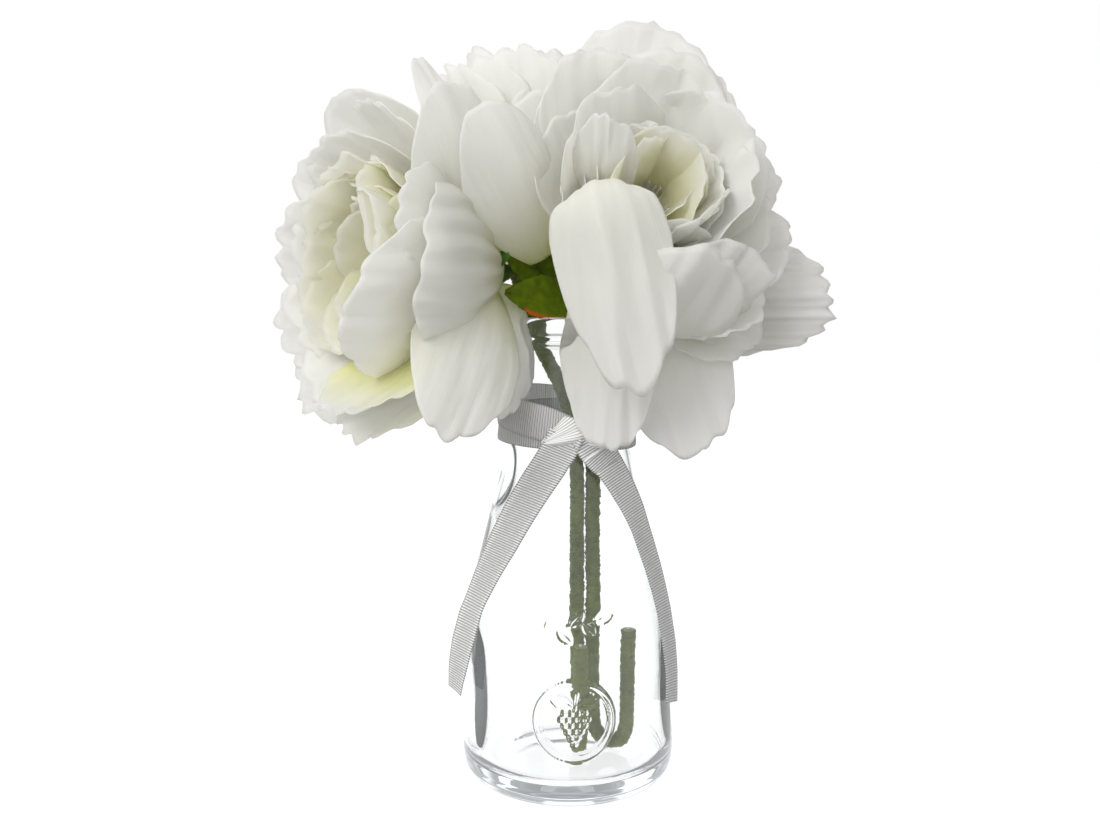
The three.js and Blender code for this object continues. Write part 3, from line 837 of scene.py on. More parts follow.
# %% Petals posed by hand
POSED = [
    # name, layer it belongs to, base, tip, inner face, bow in degrees, width, and what else differs
    ("left_tall", "left_guard_petals", (-27, -9, 184), (-41.5, -32, 240.9), (-0.75, 0.6, -0.3), 22, 60,
     {"cup": 36, "scallop": 0.01, "point": 0.42, "ruffle": 1.5}),
    ("left_curled", "left_guard_petals", (-28, -7, 186), (-47.6, -26, 252.2), (-0.5, 0.7, -0.2), 12, 24,
     {"cup": 36, "scallop": 0.0, "point": 0.85, "curl": -3, "ruffle": 1}),
    ("left_pleated", "left_guard_petals", (-22, -11, 181), (-48.5, -62, 178.1), (-0.45, 0.88, 0.1), 25, 60,
     {"cup": 40, "pleat": 0.85, "folds": 7, "curl": 2}),
    ("left_hanging", "left_guard_petals", (-24, -7, 177), (-25.8, -20, 129.2), (-0.1, 1, 0.1), 12, 29,
     {"cup": 26}),
    ("left_front", "left_outer_petals", (-30, -13, 179), (-69.8, -66, 166.4), (-0.45, 0.75, 0.45), 30, 58,
     {"cup": 30}),
    ("left_upper", "left_outer_petals", (-28, -12, 184), (-52.6, -61, 198.3), (-0.6, 0.7, -0.2), 25, 46,
     {"cup": 34}),
    ("left_lower", "left_outer_petals", (-27, -11, 177), (-41.9, -58, 128), (-0.35, 1, 0.1), 26, 43,
     {"cup": 34, "lobes": 4, "curl": 3, "point": 0.36}),
    ("left_open", "left_outer_petals", (-44, -27, 164), (-72.1, -58, 137.4), (-0.3, -0.5, 0.8), 24, 40,
     {"cup": 24, "scallop": 0.03, "lobes": 7, "ruffle": 2.4, "cloth": THROAT_CLOTH}),
    ("right_front", "right_outer_petals", (14, -12, 197), (22.8, -54, 139), (-0.19, -0.79, 0.58), -70, 44,
     {"bend": (0.26, 0.56), "cup": -36, "scallop": 0.03, "point": 0.36, "neck": 0.02, "full_at": 0.86,
      "ruffle": 3.6, "pleat": 0.3, "folds": 4, "lobes": 4}),
    ("right_round", "right_outer_petals", (12, -12, 198), (11.6, -56, 226.4), (-0.1, -0.85, -0.2), -18, 23,
     {"cup": -26, "scallop": 0.02, "point": 0.34, "ruffle": 2, "full_at": 0.85}),
    ("right_hanging_left", "right_guard_petals", (16, -8, 188), (12.6, -34, 119.7), (-0.1, -0.9, 0.3), -10,
     36, {"cup": -22, "point": 0.45}),
    ("right_hanging_right", "right_guard_petals", (20, -8, 188), (46.3, -22, 117.4), (0, -0.9, 0.3), -6, 48,
     {"cup": -22, "point": 0.45, "lobes": 4}),
    ("right_small", "right_guard_petals", (12, -6, 186), (5.3, -18, 140), (-0.1, -0.9, 0.3), -10, 20,
     {"cup": -22, "point": 0.45}),
    ("right_cupped", "right_outer_petals", (20, -6, 186), (46.5, -51, 189.9), (0.1, 0.42, 0.9), 66, 66,
     {"cup": 36, "scallop": 0.012, "lobes": 5, "point": 0.34, "ruffle": 3.4, "pleat": 0.25, "folds": 5}),
    ("right_nested", "right_outer_petals", (22, -6, 187), (63, -37, 187.7), (0.1, 0.5, 0.9), 60, 58,
     {"cup": 38, "scallop": 0.012, "lobes": 5, "point": 0.34, "ruffle": 3.4, "pleat": 0.25, "folds": 5}),
    ("top_satin", "top_guard_petals", (-7, -7, 186), (-30.3, -44, 231.7), (-0.5, 0.7, 0.3), 18, 40,
     {"cup": 30, "scallop": 0.01, "point": 0.5}),
    ("top_pointed", "top_guard_petals", (-4, -3, 188), (-2.3, -12, 241), (0, 1, 0.2), 10, 28,
     {"cup": 26, "scallop": 0.01, "point": 0.75}),
]
for name, node, base, tip, inward, bow, width, others in POSED:
    posed_petal(name, node, base, tip, inward, bow, width, **others)
print(f"{len(POSED)} petals posed by hand")

# %% [markdown]
# ## Calyx and sepals
#
# Under each head sits a moulded green cup with five pressed cloth sepals over it. The sepals are
# petals too, only short and pointed, so the petal tree grows them. The cup is turned on a lathe: its
# outline is spun about the pin's axis, and shallow ribs are pressed into it.

# %% Green finishes
def green_cloth(name, dark, light, tint=None):
    """Pressed green cloth, mottled, with a faint weave. tint is a colour for its lower edge."""
    material, tree, shader = new_material(name)
    place = new_node(tree, "ShaderNodeTexCoord").outputs["Object"]
    mottle = noise(tree, place, 260.0, 3.0) + 0.5
    colour = ramp_colours(tree, mottle, [(0.25, dark), (0.75, light)])
    if tint:
        edge = shader_number(tree, "leaf_edge").ramp(0.62, 0.95)
        tinted = new_node(tree, "ShaderNodeMix", {"Factor": edge, "A": colour, "B": (*tint, 1)},
                          data_type="RGBA")
        colour = tinted.outputs["Result"]
    fine = noise(tree, place, 2600.0, 2.0)
    bump = new_node(tree, "ShaderNodeBump", {"Strength": 0.3, "Distance": 0.2 * MM, "Height": fine})
    fill(tree, shader, {
        "Base Color": colour, "Roughness": 0.6, "Specular IOR Level": 0.15, "Normal": bump.outputs[0]})
    return material


SEPAL_CLOTH = green_cloth("sepal_cloth", (0.045, 0.13, 0.012), (0.10, 0.22, 0.03))
CALYX_GREEN = green_cloth("calyx_green", (0.05, 0.11, 0.02), (0.09, 0.17, 0.035))
print("green finishes: sepal cloth and calyx")

# %% Mesh helpers
def make_piece(name, vertices, faces, material, slot, *replaced):
    """A mesh piece in its place, smooth, facing outwards, that stands for the CAD nodes named."""
    mesh = bpy.data.meshes.new(name)
    mesh.from_pydata([tuple(v) for v in vertices], [], faces)
    mesh.validate()
    mesh.shade_smooth()
    mesh.materials.append(material)
    piece = add_object(name, mesh)
    hand_over(piece, slot, *replaced)
    return piece


def lathe_faces(rows, columns):
    """Quads between the rings of a closed turned shape whose two ends are poles, one point each."""
    faces = []
    last = 1 + rows * columns
    for c in range(columns):
        d = (c + 1) % columns
        faces.append((0, 1 + d, 1 + c))
        for r in range(rows - 1):
            a = 1 + r * columns
            b = a + columns
            faces.append((a + c, a + d, b + d, b + c))
        a = 1 + (rows - 1) * columns
        faces.append((a + c, a + d, last))
    return faces


def rounded(outline, steps):
    """A smooth curve through an outline's points (Catmull-Rom), steps points to a span."""
    p = np.asarray(outline, float)
    padded = np.vstack([2 * p[0] - p[1], p, 2 * p[-1] - p[-2]])
    t = np.linspace(0, 1, steps, endpoint=False)[:, None]
    spans = []
    for a, b, c, d in zip(padded, padded[1:], padded[2:], padded[3:]):
        spans.append(0.5 * (2 * b + (c - a) * t + (2 * a - 5 * b + 4 * c - d) * t ** 2
                            + (3 * b - a - 3 * c + d) * t ** 3))
    return np.vstack(spans + [p[-1:]])


# %% Calyx cups and sepals
CALYX_OUTLINE = [
    (3.4, -9.0), (3.7, -7.5), (4.4, -6.0), (5.6, -4.2), (6.3, -2.8), (6.5, -1.9), (6.0, -1.2),
    (4.5, -0.8), (3.0, -0.6), (3.0, 2.0), (3.0, 14.0), (2.4, 14.9),
]
CALYX_RIBS = {"count": 10, "depth": 0.05, "middle": -4, "spread": 3}


def calyx_cup(head):
    """A turned cup with shallow ribs that fade out above and below its middle."""
    columns = 60
    outline = rounded(CALYX_OUTLINE, 3)
    turn = np.linspace(0, 2 * math.pi, columns, endpoint=False)
    points = [(0, 0, outline[0][1])]
    for radius, height in outline:
        on_cup = math.exp(-((height - CALYX_RIBS["middle"]) / CALYX_RIBS["spread"]) ** 2)
        rib = 1 + CALYX_RIBS["depth"] * on_cup * np.cos(CALYX_RIBS["count"] * turn)
        points += [(radius * k * math.sin(a), radius * k * math.cos(a), height) for k, a in zip(rib, turn)]
    points.append((0, 0, outline[-1][1]))
    placed = [HEAD_FRAMES[head] @ (Vector(p) * MM) for p in points]
    faces = [face[::-1] for face in lathe_faces(len(outline), columns)]
    make_piece(f"{head}_calyx_cup", placed, faces, CALYX_GREEN, "leaf", f"{head}_calyx")


SEPAL_LEANS = {"left": (100, 95), "right": (105, 110), "top": (100, 105), "rear": (95, 90)}
for head, (lean, tip) in SEPAL_LEANS.items():
    calyx_cup(head)
    sepals = petal_ring(5, 0, lean, tip, 12, 8, 80, cup=14, tilt=0, curl=0.4, ruffle=0.5,
                        point=0.75, scallop=0.05, neck=0.6)
    make_layer(head, "sepals", sepals, 0.3, SEPAL_CLOTH, slot="leaf", columns=11, rows=13)
print("four calyx cups, each under five sepals")

# %% [markdown]
# ## The bottle
#
# A pressed glass bottle is one closed wall: outside, over the lip and down the inside. The frame's
# solid gives its true section, so that is measured and smoothed rather than drawn again, and turned on
# a lathe. Glass must be one closed surface, because light bends where it goes in and again where it
# comes out.

# %% The bottle's section
import bmesh


def section_of(node):
    """The outline of a turned solid behind its axis, as (radius, height) from its foot to its floor."""
    mesh = bmesh.new()
    mesh.from_mesh(nodes[node].data)
    bmesh.ops.remove_doubles(mesh, verts=mesh.verts, dist=1e-6)
    cut = bmesh.ops.bisect_plane(mesh, geom=mesh.verts[:] + mesh.edges[:] + mesh.faces[:], dist=1e-7,
                                 plane_co=(0, 0, 0), plane_no=(1, 0, 0))
    edges = [part for part in cut["geom_cut"] if isinstance(part, bmesh.types.BMEdge)]
    edges = [edge for edge in edges if min(v.co.y for v in edge.verts) > -1e-6]
    at = min((v for edge in edges for v in edge.verts), key=lambda v: v.co.length)
    outline = [(0.0, 0.0)]
    while edges:
        step = next((edge for edge in edges if at in edge.verts), None)
        if step is None:
            break
        edges.remove(step)
        at = step.other_vert(at)
        outline.append((at.co.y, at.co.z))
    mesh.free()
    return np.array(outline)


def evenly(outline, spacing):
    """The same line with points at a steady spacing, given as a function of (radius, height)."""
    places = [0.0]
    lengths = np.r_[0, np.cumsum(np.hypot(*np.diff(outline, axis=0).T))]
    while places[-1] < lengths[-1]:
        here = [np.interp(places[-1], lengths, outline[:, k]) for k in (0, 1)]
        places.append(places[-1] + spacing(*here))
    places[-1] = lengths[-1]
    return np.column_stack([np.interp(places, lengths, outline[:, k]) for k in (0, 1)])


def softened(outline, passes):
    """Rounds every corner a little, as melted glass does, and leaves the two ends."""
    line = outline.copy()
    for _ in range(passes):
        line[1:-1] = (line[:-2] + 2 * line[1:-1] + line[2:]) / 4
    return line


SECTION_STEP = 0.3 * MM
section = section_of("bottle")
outline = softened(evenly(section, lambda radius, height: SECTION_STEP), 4)
outside = outline[:np.argmax(outline[:, 1]) + 1]  # the top of the lip parts outside from inside
above_heel = outside[outside[:, 1] > 9 * MM]


def bottle_radius(height):
    """The bottle's outside radius at a height above its heel."""
    return float(np.interp(height, above_heel[:, 1], above_heel[:, 0]))


print(f"bottle: {len(section)} corners measured, {outline[:, 1].max() / MM:.1f} mm high,",
      f"{2 * outline[:, 0].max() / MM:.1f} mm wide")

# %% [markdown]
# The marks that the mould leaves are pressed into the same skin: a round seal with a bunch of grapes, a
# sprig above it, and short ticks round the heel that the bottle stands on. They could be separate small
# pieces laid on the wall, but light would then meet glass inside glass, and every joint would show. So
# each mark is a height over the wall, worked out at every point of the skin, and they add up.

# %% Ridges, leaves and lines
def dome(distance, width):
    """A rounded ridge: 1 at no distance, down to 0 at the given width."""
    return np.clip(1 - (distance / width) ** 2, 0, 1) ** 0.5


def leaf_mark(u, v, root, angle, length, width):
    """A raised pointed leaf with a groove along its middle."""
    du = u - root[0] * MM
    dv = v - root[1] * MM
    turn = math.radians(angle)
    t = (du * math.cos(turn) + dv * math.sin(turn)) / (length * MM)
    side = np.abs(dv * math.cos(turn) - du * math.sin(turn)) / MM
    half = width / 2 * np.sin(np.pi * np.clip(t, 0.001, 0.999)) ** 0.8
    body = np.where((t > 0) & (t < 1), dome(side, half), 0)
    return body * (1 - 0.55 * np.exp(-(side / 0.28) ** 2))


def bar_mark(u, v, start, end, width):
    """A raised line between two points."""
    a, b = np.array(start) * MM, np.array(end) * MM
    reach = b - a
    t = np.clip(((u - a[0]) * reach[0] + (v - a[1]) * reach[1]) / (reach @ reach), 0, 1)
    return dome(np.hypot(u - a[0] - t * reach[0], v - a[1] - t * reach[1]), width * MM)


# %% Seal, sprig and heel
FRONT = 25  # degrees each way from the front where the marks need a fine grid
MARK_HEIGHT = 0.8 * MM
SEAL = {"azimuth": 3.4, "height": 32.6 * MM, "outer_ring": 13.1 * MM, "inner_ring": 11.5 * MM}
GRAPE_ROWS = (4, 5, 4, 3, 2, 1)
GRAPE = 1.25  # a grape's radius, in mm
TOP_ROW = 2.6  # the top row's height over the seal's middle, in mm
SPRIG = {"azimuth": 1.5, "height": 64 * MM}
TICKS = {"count": 45, "height": 3.2 * MM, "half": 1.4 * MM, "raised": 0.14 * MM}


def seal_marks(u, v):
    """A double ring round a bunch of grapes that hangs between two leaves."""
    distance = np.hypot(u, v)
    marks = [0.85 * dome(distance - SEAL["outer_ring"], 0.9 * MM),
             0.5 * dome(distance - SEAL["inner_ring"], 0.45 * MM)]
    for row, count in enumerate(GRAPE_ROWS):
        for i in range(count):
            across = (i - (count - 1) / 2) * 1.75 * GRAPE  # under two radii, so they crowd each other
            up = TOP_ROW - row * 1.6 * GRAPE
            marks.append(0.9 * dome(np.hypot(u - across * MM, v - up * MM), GRAPE * MM))
    for angle in (24, 156):
        marks.append(0.75 * leaf_mark(u, v, (0, 4.6), angle, 9.5, 5.2))
    marks.append(0.7 * bar_mark(u, v, (0, 3.5), (0.8, 9), 0.5))
    return np.max(marks, axis=0)


def sprig_marks(u, v):
    """A curved twig, with leaves to either side in turn and one at its tip."""
    joints = [(x, 1.6 * math.sin(x / 6.5)) for x in np.linspace(-13, 8, 6)]
    marks = [0.7 * bar_mark(u, v, a, b, 0.55) for a, b in zip(joints[:-1], joints[1:])]
    for i, joint in enumerate(joints[:-1]):
        turn = 42 if i % 2 else -42
        marks.append(0.9 * leaf_mark(u, v, joint, turn, 7.6 - 0.4 * i, 4.2))
    marks.append(0.9 * leaf_mark(u, v, joints[-1], 10, 6.4, 3.8))
    return np.max(marks, axis=0)


def pressed_marks(azimuth, radius, height):
    """How far the outside of the glass stands proud at each point. The heel is plain at its front."""
    around = np.radians((azimuth + 180) % 360 - 180)
    seal = seal_marks((around - math.radians(SEAL["azimuth"])) * radius, height - SEAL["height"])
    sprig = sprig_marks((around - math.radians(SPRIG["azimuth"])) * radius, height - SPRIG["height"])
    ticks = np.clip(np.cos(around * TICKS["count"]), 0, 1) * dome(height - TICKS["height"], TICKS["half"])
    ticks = ticks * (np.abs(around) > math.radians(FRONT + 3))
    return MARK_HEIGHT * (seal + 0.8 * sprig) + TICKS["raised"] * ticks


print(f"marks: {sum(GRAPE_ROWS)} grapes in a seal, a sprig, a tick every {360 / TICKS['count']:.0f} degrees")

# %% [markdown]
# The skin is a grid of rows and columns round the axis, fine where the marks, the lip and the heel are
# and coarse elsewhere. The mould makes the outside even, but only air presses the inside, so that side
# wanders. Its slow waves and thick places bend light into soft streaks.

# %% The uneven inside
# Where the wall is thick: azimuth and half width in degrees, lowest and highest point, depth.
THICK_PLACES = [
    (-82, 22, 8, 64, 2.4),
    (-62, 9, 8, 56, 0.9),
    (86, 18, 10, 62, 1.6),
    (-76, 20, 96, 124, 1.6),
]


def slow_waves(azimuth, height, seed):
    """The gentle unevenness of a pressed wall."""
    a = np.radians(azimuth)
    z = height / MM
    return (np.sin(2 * a + z / 17 + seed) + 0.7 * np.sin(3 * a - z / 11 + 2 * seed)
            + 0.5 * np.sin(5 * a + z / 7 + 3 * seed)) / 2.2


def inner_wall(azimuth, height):
    """How far the inside stands in from an even wall, in metres. The waves die away up in the neck."""
    calm = np.clip((130 * MM - height) / (40 * MM), 0.1, 1)
    depth = 0.22 * slow_waves(azimuth, height, 1.0) * calm
    for middle, half, low, high, thick in THICK_PLACES:
        across = (azimuth - middle + 180) % 360 - 180
        up = (height / MM - low) / (high - low)
        if 0 < up < 1:
            depth = depth + thick * np.exp(-(across / half) ** 2) * math.sin(math.pi * up)
    return depth * MM


all_round = np.arange(-180.0, 180.0)
thickest = max(inner_wall(all_round, height * MM).max() for height in range(14, 125))
print(f"the wall is up to {thickest / MM:.1f} mm thicker than even")

# %% The bottle's skin
FOOT_PLANE = 0.5 * MM  # below this height the skin is the foot's flat
HOLLOW = {"radius": 25 * MM, "rise": 2.2 * MM}  # under the foot
MARKED = (17 * MM, 70 * MM)  # from under the seal to over the sprig
LIP_FROM = 153 * MM
HEEL = {"top": 8 * MM, "radius": 37 * MM}
INNER_FLOOR = 14 * MM


def row_spacing(radius, height):
    """Fine rows where the marks, the lip and the heel are, coarse ones elsewhere."""
    marked = MARKED[0] < height < MARKED[1] and radius > bottle_radius(height) - 1 * MM
    rounded_edge = height > LIP_FROM or (height < HEEL["top"] and radius > HEEL["radius"])
    return 0.45 * MM if marked or rounded_edge else 1.7 * MM


def glass_bottle(material):
    """The whole wall as one skin: the foot, up the outside, over the lip and down to the inner floor."""
    fine = np.arange(-FRONT, FRONT, 0.5)  # columns where the marks are
    coarse = np.linspace(FRONT, 360 - FRONT, 150, endpoint=False)  # and round the rest
    azimuth = np.concatenate([fine, coarse])
    line = evenly(outline, row_spacing)
    lip_top = int(np.argmax(line[:, 1]))
    points = [(0, 0, HOLLOW["rise"])]
    for i, (radius, height) in enumerate(line[1:-1], start=1):
        z = np.full(len(azimuth), height)
        r = np.full(len(azimuth), radius)
        if i <= lip_top and height < FOOT_PLANE:
            z = z + HOLLOW["rise"] * max(0.0, 1 - (radius / HOLLOW["radius"]) ** 2)
        if i <= lip_top and height > FOOT_PLANE:
            r = r + pressed_marks(azimuth, r, z)
        if i > lip_top and height > INNER_FLOOR:
            r = r - inner_wall(azimuth, height)
        points += list(zip(r * np.sin(np.radians(azimuth)), -r * np.cos(np.radians(azimuth)), z))
    points.append((0, 0, line[-1][1]))
    faces = lathe_faces(len(line) - 2, len(azimuth))
    return make_piece("glass_bottle", points, faces, material, "glass", "bottle")


print(f"{len(evenly(outline, row_spacing))} rows from the foot over the lip to the inner floor")

# %% Clear glass
def clear_glass():
    """Clear glass with a faint blue-green depth, which shows where light travels far inside it.

    The thick foot also gathers light from all round, which a path tracer stops following. A trace
    of glow in the glass stands for it, too faint to show in the thin wall.
    """
    material, tree, shader = new_material("clear_glass")
    fill(tree, shader, {
        "Base Color": (0.985, 0.993, 0.99, 1), "Roughness": 0.0, "IOR": 1.5, "Transmission Weight": 1.0})
    depth = new_node(tree, "ShaderNodeVolumeAbsorption", {"Density": 10.0, "Color": (0.58, 0.66, 0.74, 1)})
    gathered = new_node(tree, "ShaderNodeEmission", {"Strength": 4.6})
    both = new_node(tree, "ShaderNodeAddShader", {0: depth.outputs[0], 1: gathered.outputs[0]})
    fill(tree, tree.nodes["Material Output"], {"Volume": both.outputs[0]})
    return material


bottle = glass_bottle(clear_glass())
print(f"bottle skin: {len(bottle.data.polygons)} faces")

# %% [markdown]
# ## The ribbon
#
# Grosgrain ribbon has thick weft ribs straight across it and a fine firm edge. One strip goes twice
# round the neck, is tied once at the front, and its two ends hang down the bottle. A ribbon lies
# between two edges, so each stretch is given as two edge lines, and a Geometry Nodes tree lays the
# cloth between them: it bows it a little over the round glass, adds one rib after another, just under
# a millimetre apart, and gives it its thickness.

# %% Ribbon tree
RIBBON = {"width": 12 * MM, "thickness": 0.32 * MM, "rib": 0.92 * MM, "rib_height": 0.15 * MM}
ROWS_TO_A_RIB = 5


def sampled(tree, line, factor):
    """The place on a line at a share of its length, and the line's direction there."""
    info = new_node(tree, "GeometryNodeObjectInfo", {"Object": line})
    inputs = {"Curves": info.outputs["Geometry"], "Factor": factor}
    sample = new_node(tree, "GeometryNodeSampleCurve", inputs, mode="FACTOR", use_all_curves=False)
    return sample.outputs["Position"], sample.outputs["Tangent"]


def vector_maths(tree, operation, *vectors, **others):
    """The result of a vector maths node, such as a sum or a cross product."""
    node = new_node(tree, "ShaderNodeVectorMath", operation=operation)
    fill(tree, node, {**dict(enumerate(vectors)), **others})
    return node.outputs["Vector"]


def ribbon_tree():
    """Lays ribbed cloth between two edge lines."""
    tree, given = start_tree("ribbon", [
        ("Left edge", "Object"), ("Right edge", "Object"), ("Ribs", "Int"), ("Bow", "Float"),
        ("Rib height", "Float"), ("Crumple", "Float"), ("Thickness", "Float"), ("Cloth", "Material"),
    ])
    ribs = Field(tree, given["Ribs"])
    grid = new_node(tree, "GeometryNodeMeshGrid", {
        "Size X": 1.0, "Size Y": 1.0, "Vertices X": 11, "Vertices Y": ribs * ROWS_TO_A_RIB + 1})
    flat_x, flat_y, _ = split(tree, new_node(tree, "GeometryNodeInputPosition").outputs[0])
    along = flat_y + 0.5
    centred = flat_x * 2.0
    left, ahead = sampled(tree, given["Left edge"], along)
    right, _ = sampled(tree, given["Right edge"], along)
    width = vector_maths(tree, "SUBTRACT", right, left)
    outward = vector_maths(tree, "NORMALIZE", vector_maths(tree, "CROSS_PRODUCT", ahead, width))

    rib = (along * ribs * (2 * math.pi)).sin() * Field(tree, given["Rib height"])
    rib = rib * (1.0 - centred.abs().ramp(0.9, 1.0))
    bow = (1.0 - centred * centred) * Field(tree, given["Bow"])
    crumple = noise(tree, join(tree, centred * 1.4, along * 5.0, 0.0)) * Field(tree, given["Crumple"])
    lift = vector_maths(tree, "SCALE", outward, Scale=rib + bow + crumple)
    place = vector_maths(tree, "ADD", left, vector_maths(tree, "SCALE", width, Scale=flat_x + 0.5))

    kept = keep_number(tree, grid.outputs["Mesh"], "ribbon_along", along * ribs)
    kept = keep_number(tree, kept, "ribbon_across", centred)
    laid = new_node(tree, "GeometryNodeSetPosition", {
        "Geometry": kept, "Position": vector_maths(tree, "ADD", place, lift)})
    back = new_node(tree, "GeometryNodeFlipFaces", {"Mesh": laid.outputs[0]})
    raised = new_node(tree, "GeometryNodeExtrudeMesh", {
        "Mesh": laid.outputs[0], "Offset Scale": given["Thickness"], "Individual": False})
    whole = new_node(tree, "GeometryNodeJoinGeometry")
    tree.links.new(raised.outputs["Mesh"], whole.inputs[0])
    tree.links.new(back.outputs[0], whole.inputs[0])
    merged = new_node(tree, "GeometryNodeMergeByDistance", {
        "Geometry": whole.outputs[0], "Distance": 0.01 * MM})
    end_tree(tree, merged.outputs[0], given["Cloth"])
    return tree


# %% Grosgrain
def grosgrain(name, groove, see_through):
    """Ribbed polyester ribbon with silky threads, and painted shade: darker in the grooves and paler on the
    ribs' tops.
    """
    material, tree, shader = new_material(name)
    ribs = shader_number(tree, "ribbon_along")
    across = shader_number(tree, "ribbon_across")
    # painted shade: the colour darkens from each rib's top into the groove between ribs; groove is the
    # darkest colour of that painted shade
    crest = (ribs * (2 * math.pi)).sin() * 0.5 + 0.5
    threads = noise(tree, join(tree, across * 60.0, ribs * 1.6, 0.0), 1.0, 2.0) + 0.5
    edge = across.abs().ramp(0.88, 1.0)  # darker towards both edges
    shade = (crest * 0.85 + threads * 0.15) * (1.0 - edge * 0.6)
    colour = ramp_colours(tree, shade, [
        (0.04, (groove, groove, groove)), (0.3, (0.84, 0.84, 0.84)), (0.7, (0.96, 0.955, 0.945))])
    bump = new_node(tree, "ShaderNodeBump", {"Strength": 0.35, "Distance": 0.1 * MM, "Height": threads})
    fill(tree, shader, {
        "Base Color": colour, "Roughness": 0.42, "Sheen Weight": 0.25, "Normal": bump.outputs[0]})
    let_light_through(tree, shader, colour, bump, see_through)
    return material


# The turns round the neck get much lighter painted shade in their grooves than the tails do, though they are
# the same ribbon.
LOOP_GROSGRAIN = grosgrain("loop_grosgrain", 0.55, 0.66)  # light comes through it into the neck
TAIL_GROSGRAIN = grosgrain("tail_grosgrain", 0.2, 0.12)
LAY_RIBBON = ribbon_tree()
print(f"ribbon tree: {len(LAY_RIBBON.nodes)} nodes; ribs {RIBBON['rib'] / MM:.2f} mm apart")


# %% Laying a stretch of ribbon
def edge_line(name, points):
    """A polyline object for a tree to follow."""
    curve = bpy.data.curves.new(name, "CURVE")
    curve.dimensions = "3D"
    spline = curve.splines.new("POLY")
    spline.points.add(len(points) - 1)
    for point, place in zip(spline.points, points):
        point.co = (*place, 1)
    return add_object(name, curve)


def on_bottle(azimuth, height, clearance):
    """A point off the glass: 0 degrees is the front and 90 the right; height and clearance in mm."""
    radius = bottle_radius(height * MM) + clearance * MM
    turn = math.radians(azimuth)
    return np.array([radius * math.sin(turn), -radius * math.cos(turn), height * MM])


def ribbon_piece(name, left, right, bow, crumple, cloth, *replaced):
    """Cloth laid between two edge lines; gives back the piece and its length."""
    edges = [edge_line(f"{name}_left", left), edge_line(f"{name}_right", right)]
    middle = (np.array(left) + np.array(right)) / 2
    length = float(np.linalg.norm(np.diff(middle, axis=0), axis=1).sum())
    piece = grown(add_object(name, bpy.data.meshes.new(name)), LAY_RIBBON, {
        "Left edge": edges[0], "Right edge": edges[1], "Ribs": round(length / RIBBON["rib"]),
        "Bow": bow * MM, "Rib height": RIBBON["rib_height"], "Crumple": crumple * MM,
        "Thickness": RIBBON["thickness"], "Cloth": cloth,
    })
    for edge in edges:
        bpy.data.objects.remove(edge)
    hand_over(piece, "ribbon", *replaced)
    print(f"{name}: {length / MM:.0f} mm long, {len(piece.data.polygons)} faces")
    return piece, length


# %% [markdown]
# The two turns lie on each other at the neck. Each is level at neither side: it dips towards the front,
# where the knot pulls it together, and it is slack at the left.

# %% Two turns round the neck
KNOT_AZIMUTH = 8
SLACK = 2.2  # how far the loop stands off the neck at its left, in mm
HALF_RIBBON = 6  # half the ribbon's width, in mm
PINCH_WIDTH = 16  # degrees to each side of the knot over which it narrows
TURNS = {
    "lower": {"height": 127.7, "front": -1.0, "right": -0.8, "clearance": 0.5, "pinch": 0.8},
    "upper": {"height": 130.5, "front": -2.3, "right": -3.9, "clearance": 1.4, "pinch": 2.0},
}


def turn_edges(turn):
    """The lower and upper edge of one turn, from one side of the knot to the other."""
    edges = ([], [])
    for azimuth in np.linspace(KNOT_AZIMUTH + 5, KNOT_AZIMUTH + 355, 141):
        a = math.radians(azimuth)
        slack = turn["clearance"] + SLACK * ((1 - math.sin(a)) / 2) ** 2
        middle = turn["height"] + turn["front"] * math.cos(a) + turn["right"] * math.sin(a)
        from_knot = (azimuth - KNOT_AZIMUTH + 180) % 360 - 180
        half = HALF_RIBBON - turn["pinch"] * math.exp(-(from_knot / PINCH_WIDTH) ** 2)
        edges[0].append(on_bottle(azimuth, middle - half, slack))
        edges[1].append(on_bottle(azimuth, middle + half, slack))
    return edges


for name, turn in TURNS.items():
    band, length = ribbon_piece(f"ribbon_{name}_band", *turn_edges(turn), 0.25, 0.25, LOOP_GROSGRAIN,
                                f"ribbon_{name}_turn")
    "glass_bottle" if name == "lower" else "ribbon_lower_band"

# %% [markdown]
# A tail's middle is a smooth line through a few stations, each given by its place on the bottle and the
# way the cloth faces there. The right tail lies on the glass. The left one leaves it half way down and
# hangs free.

# %% The two tails
# A station is (azimuth, height, clearance, facing); facing is the way the face looks, as an azimuth.
LEFT_TAIL = [
    (-1.5, 126.5, 4.4, -2), (-5, 122.4, 3.6, -5), (-10, 119, 2.3, -9), (-14.4, 115.8, 1.6, -12),
    (-26.4, 107.4, 1.1, -20), (-36.7, 98.6, 1, -28), (-45.1, 89.7, 1, -37), (-53.2, 80.6, 1, -48),
    (-59.4, 71.4, 1.4, -54), (-60.5, 62.9, 3, -51), (-61.6, 54.2, 4, -51), (-63.6, 45.1, 4.6, -56),
    (-66.5, 35.5, 4.9, -65),
]
RIGHT_TAIL = [
    (15, 125.5, 3.6, 18), (20, 121.4, 3.5, 26), (26, 118.4, 2.6, 34), (32.4, 116, 1.6, 42),
    (45.9, 106.5, 0.9, 52), (54.4, 97.6, 0.9, 58), (58.8, 88.7, 0.9, 61), (62.3, 79.8, 0.9, 63),
    (64.6, 70.9, 0.9, 64), (65.2, 62.2, 1, 64), (65.8, 53.4, 1.2, 65), (66.2, 44.5, 1.4, 66),
    (64.9, 36.1, 1.8, 66), (64.2, 31.8, 2, 66),
]


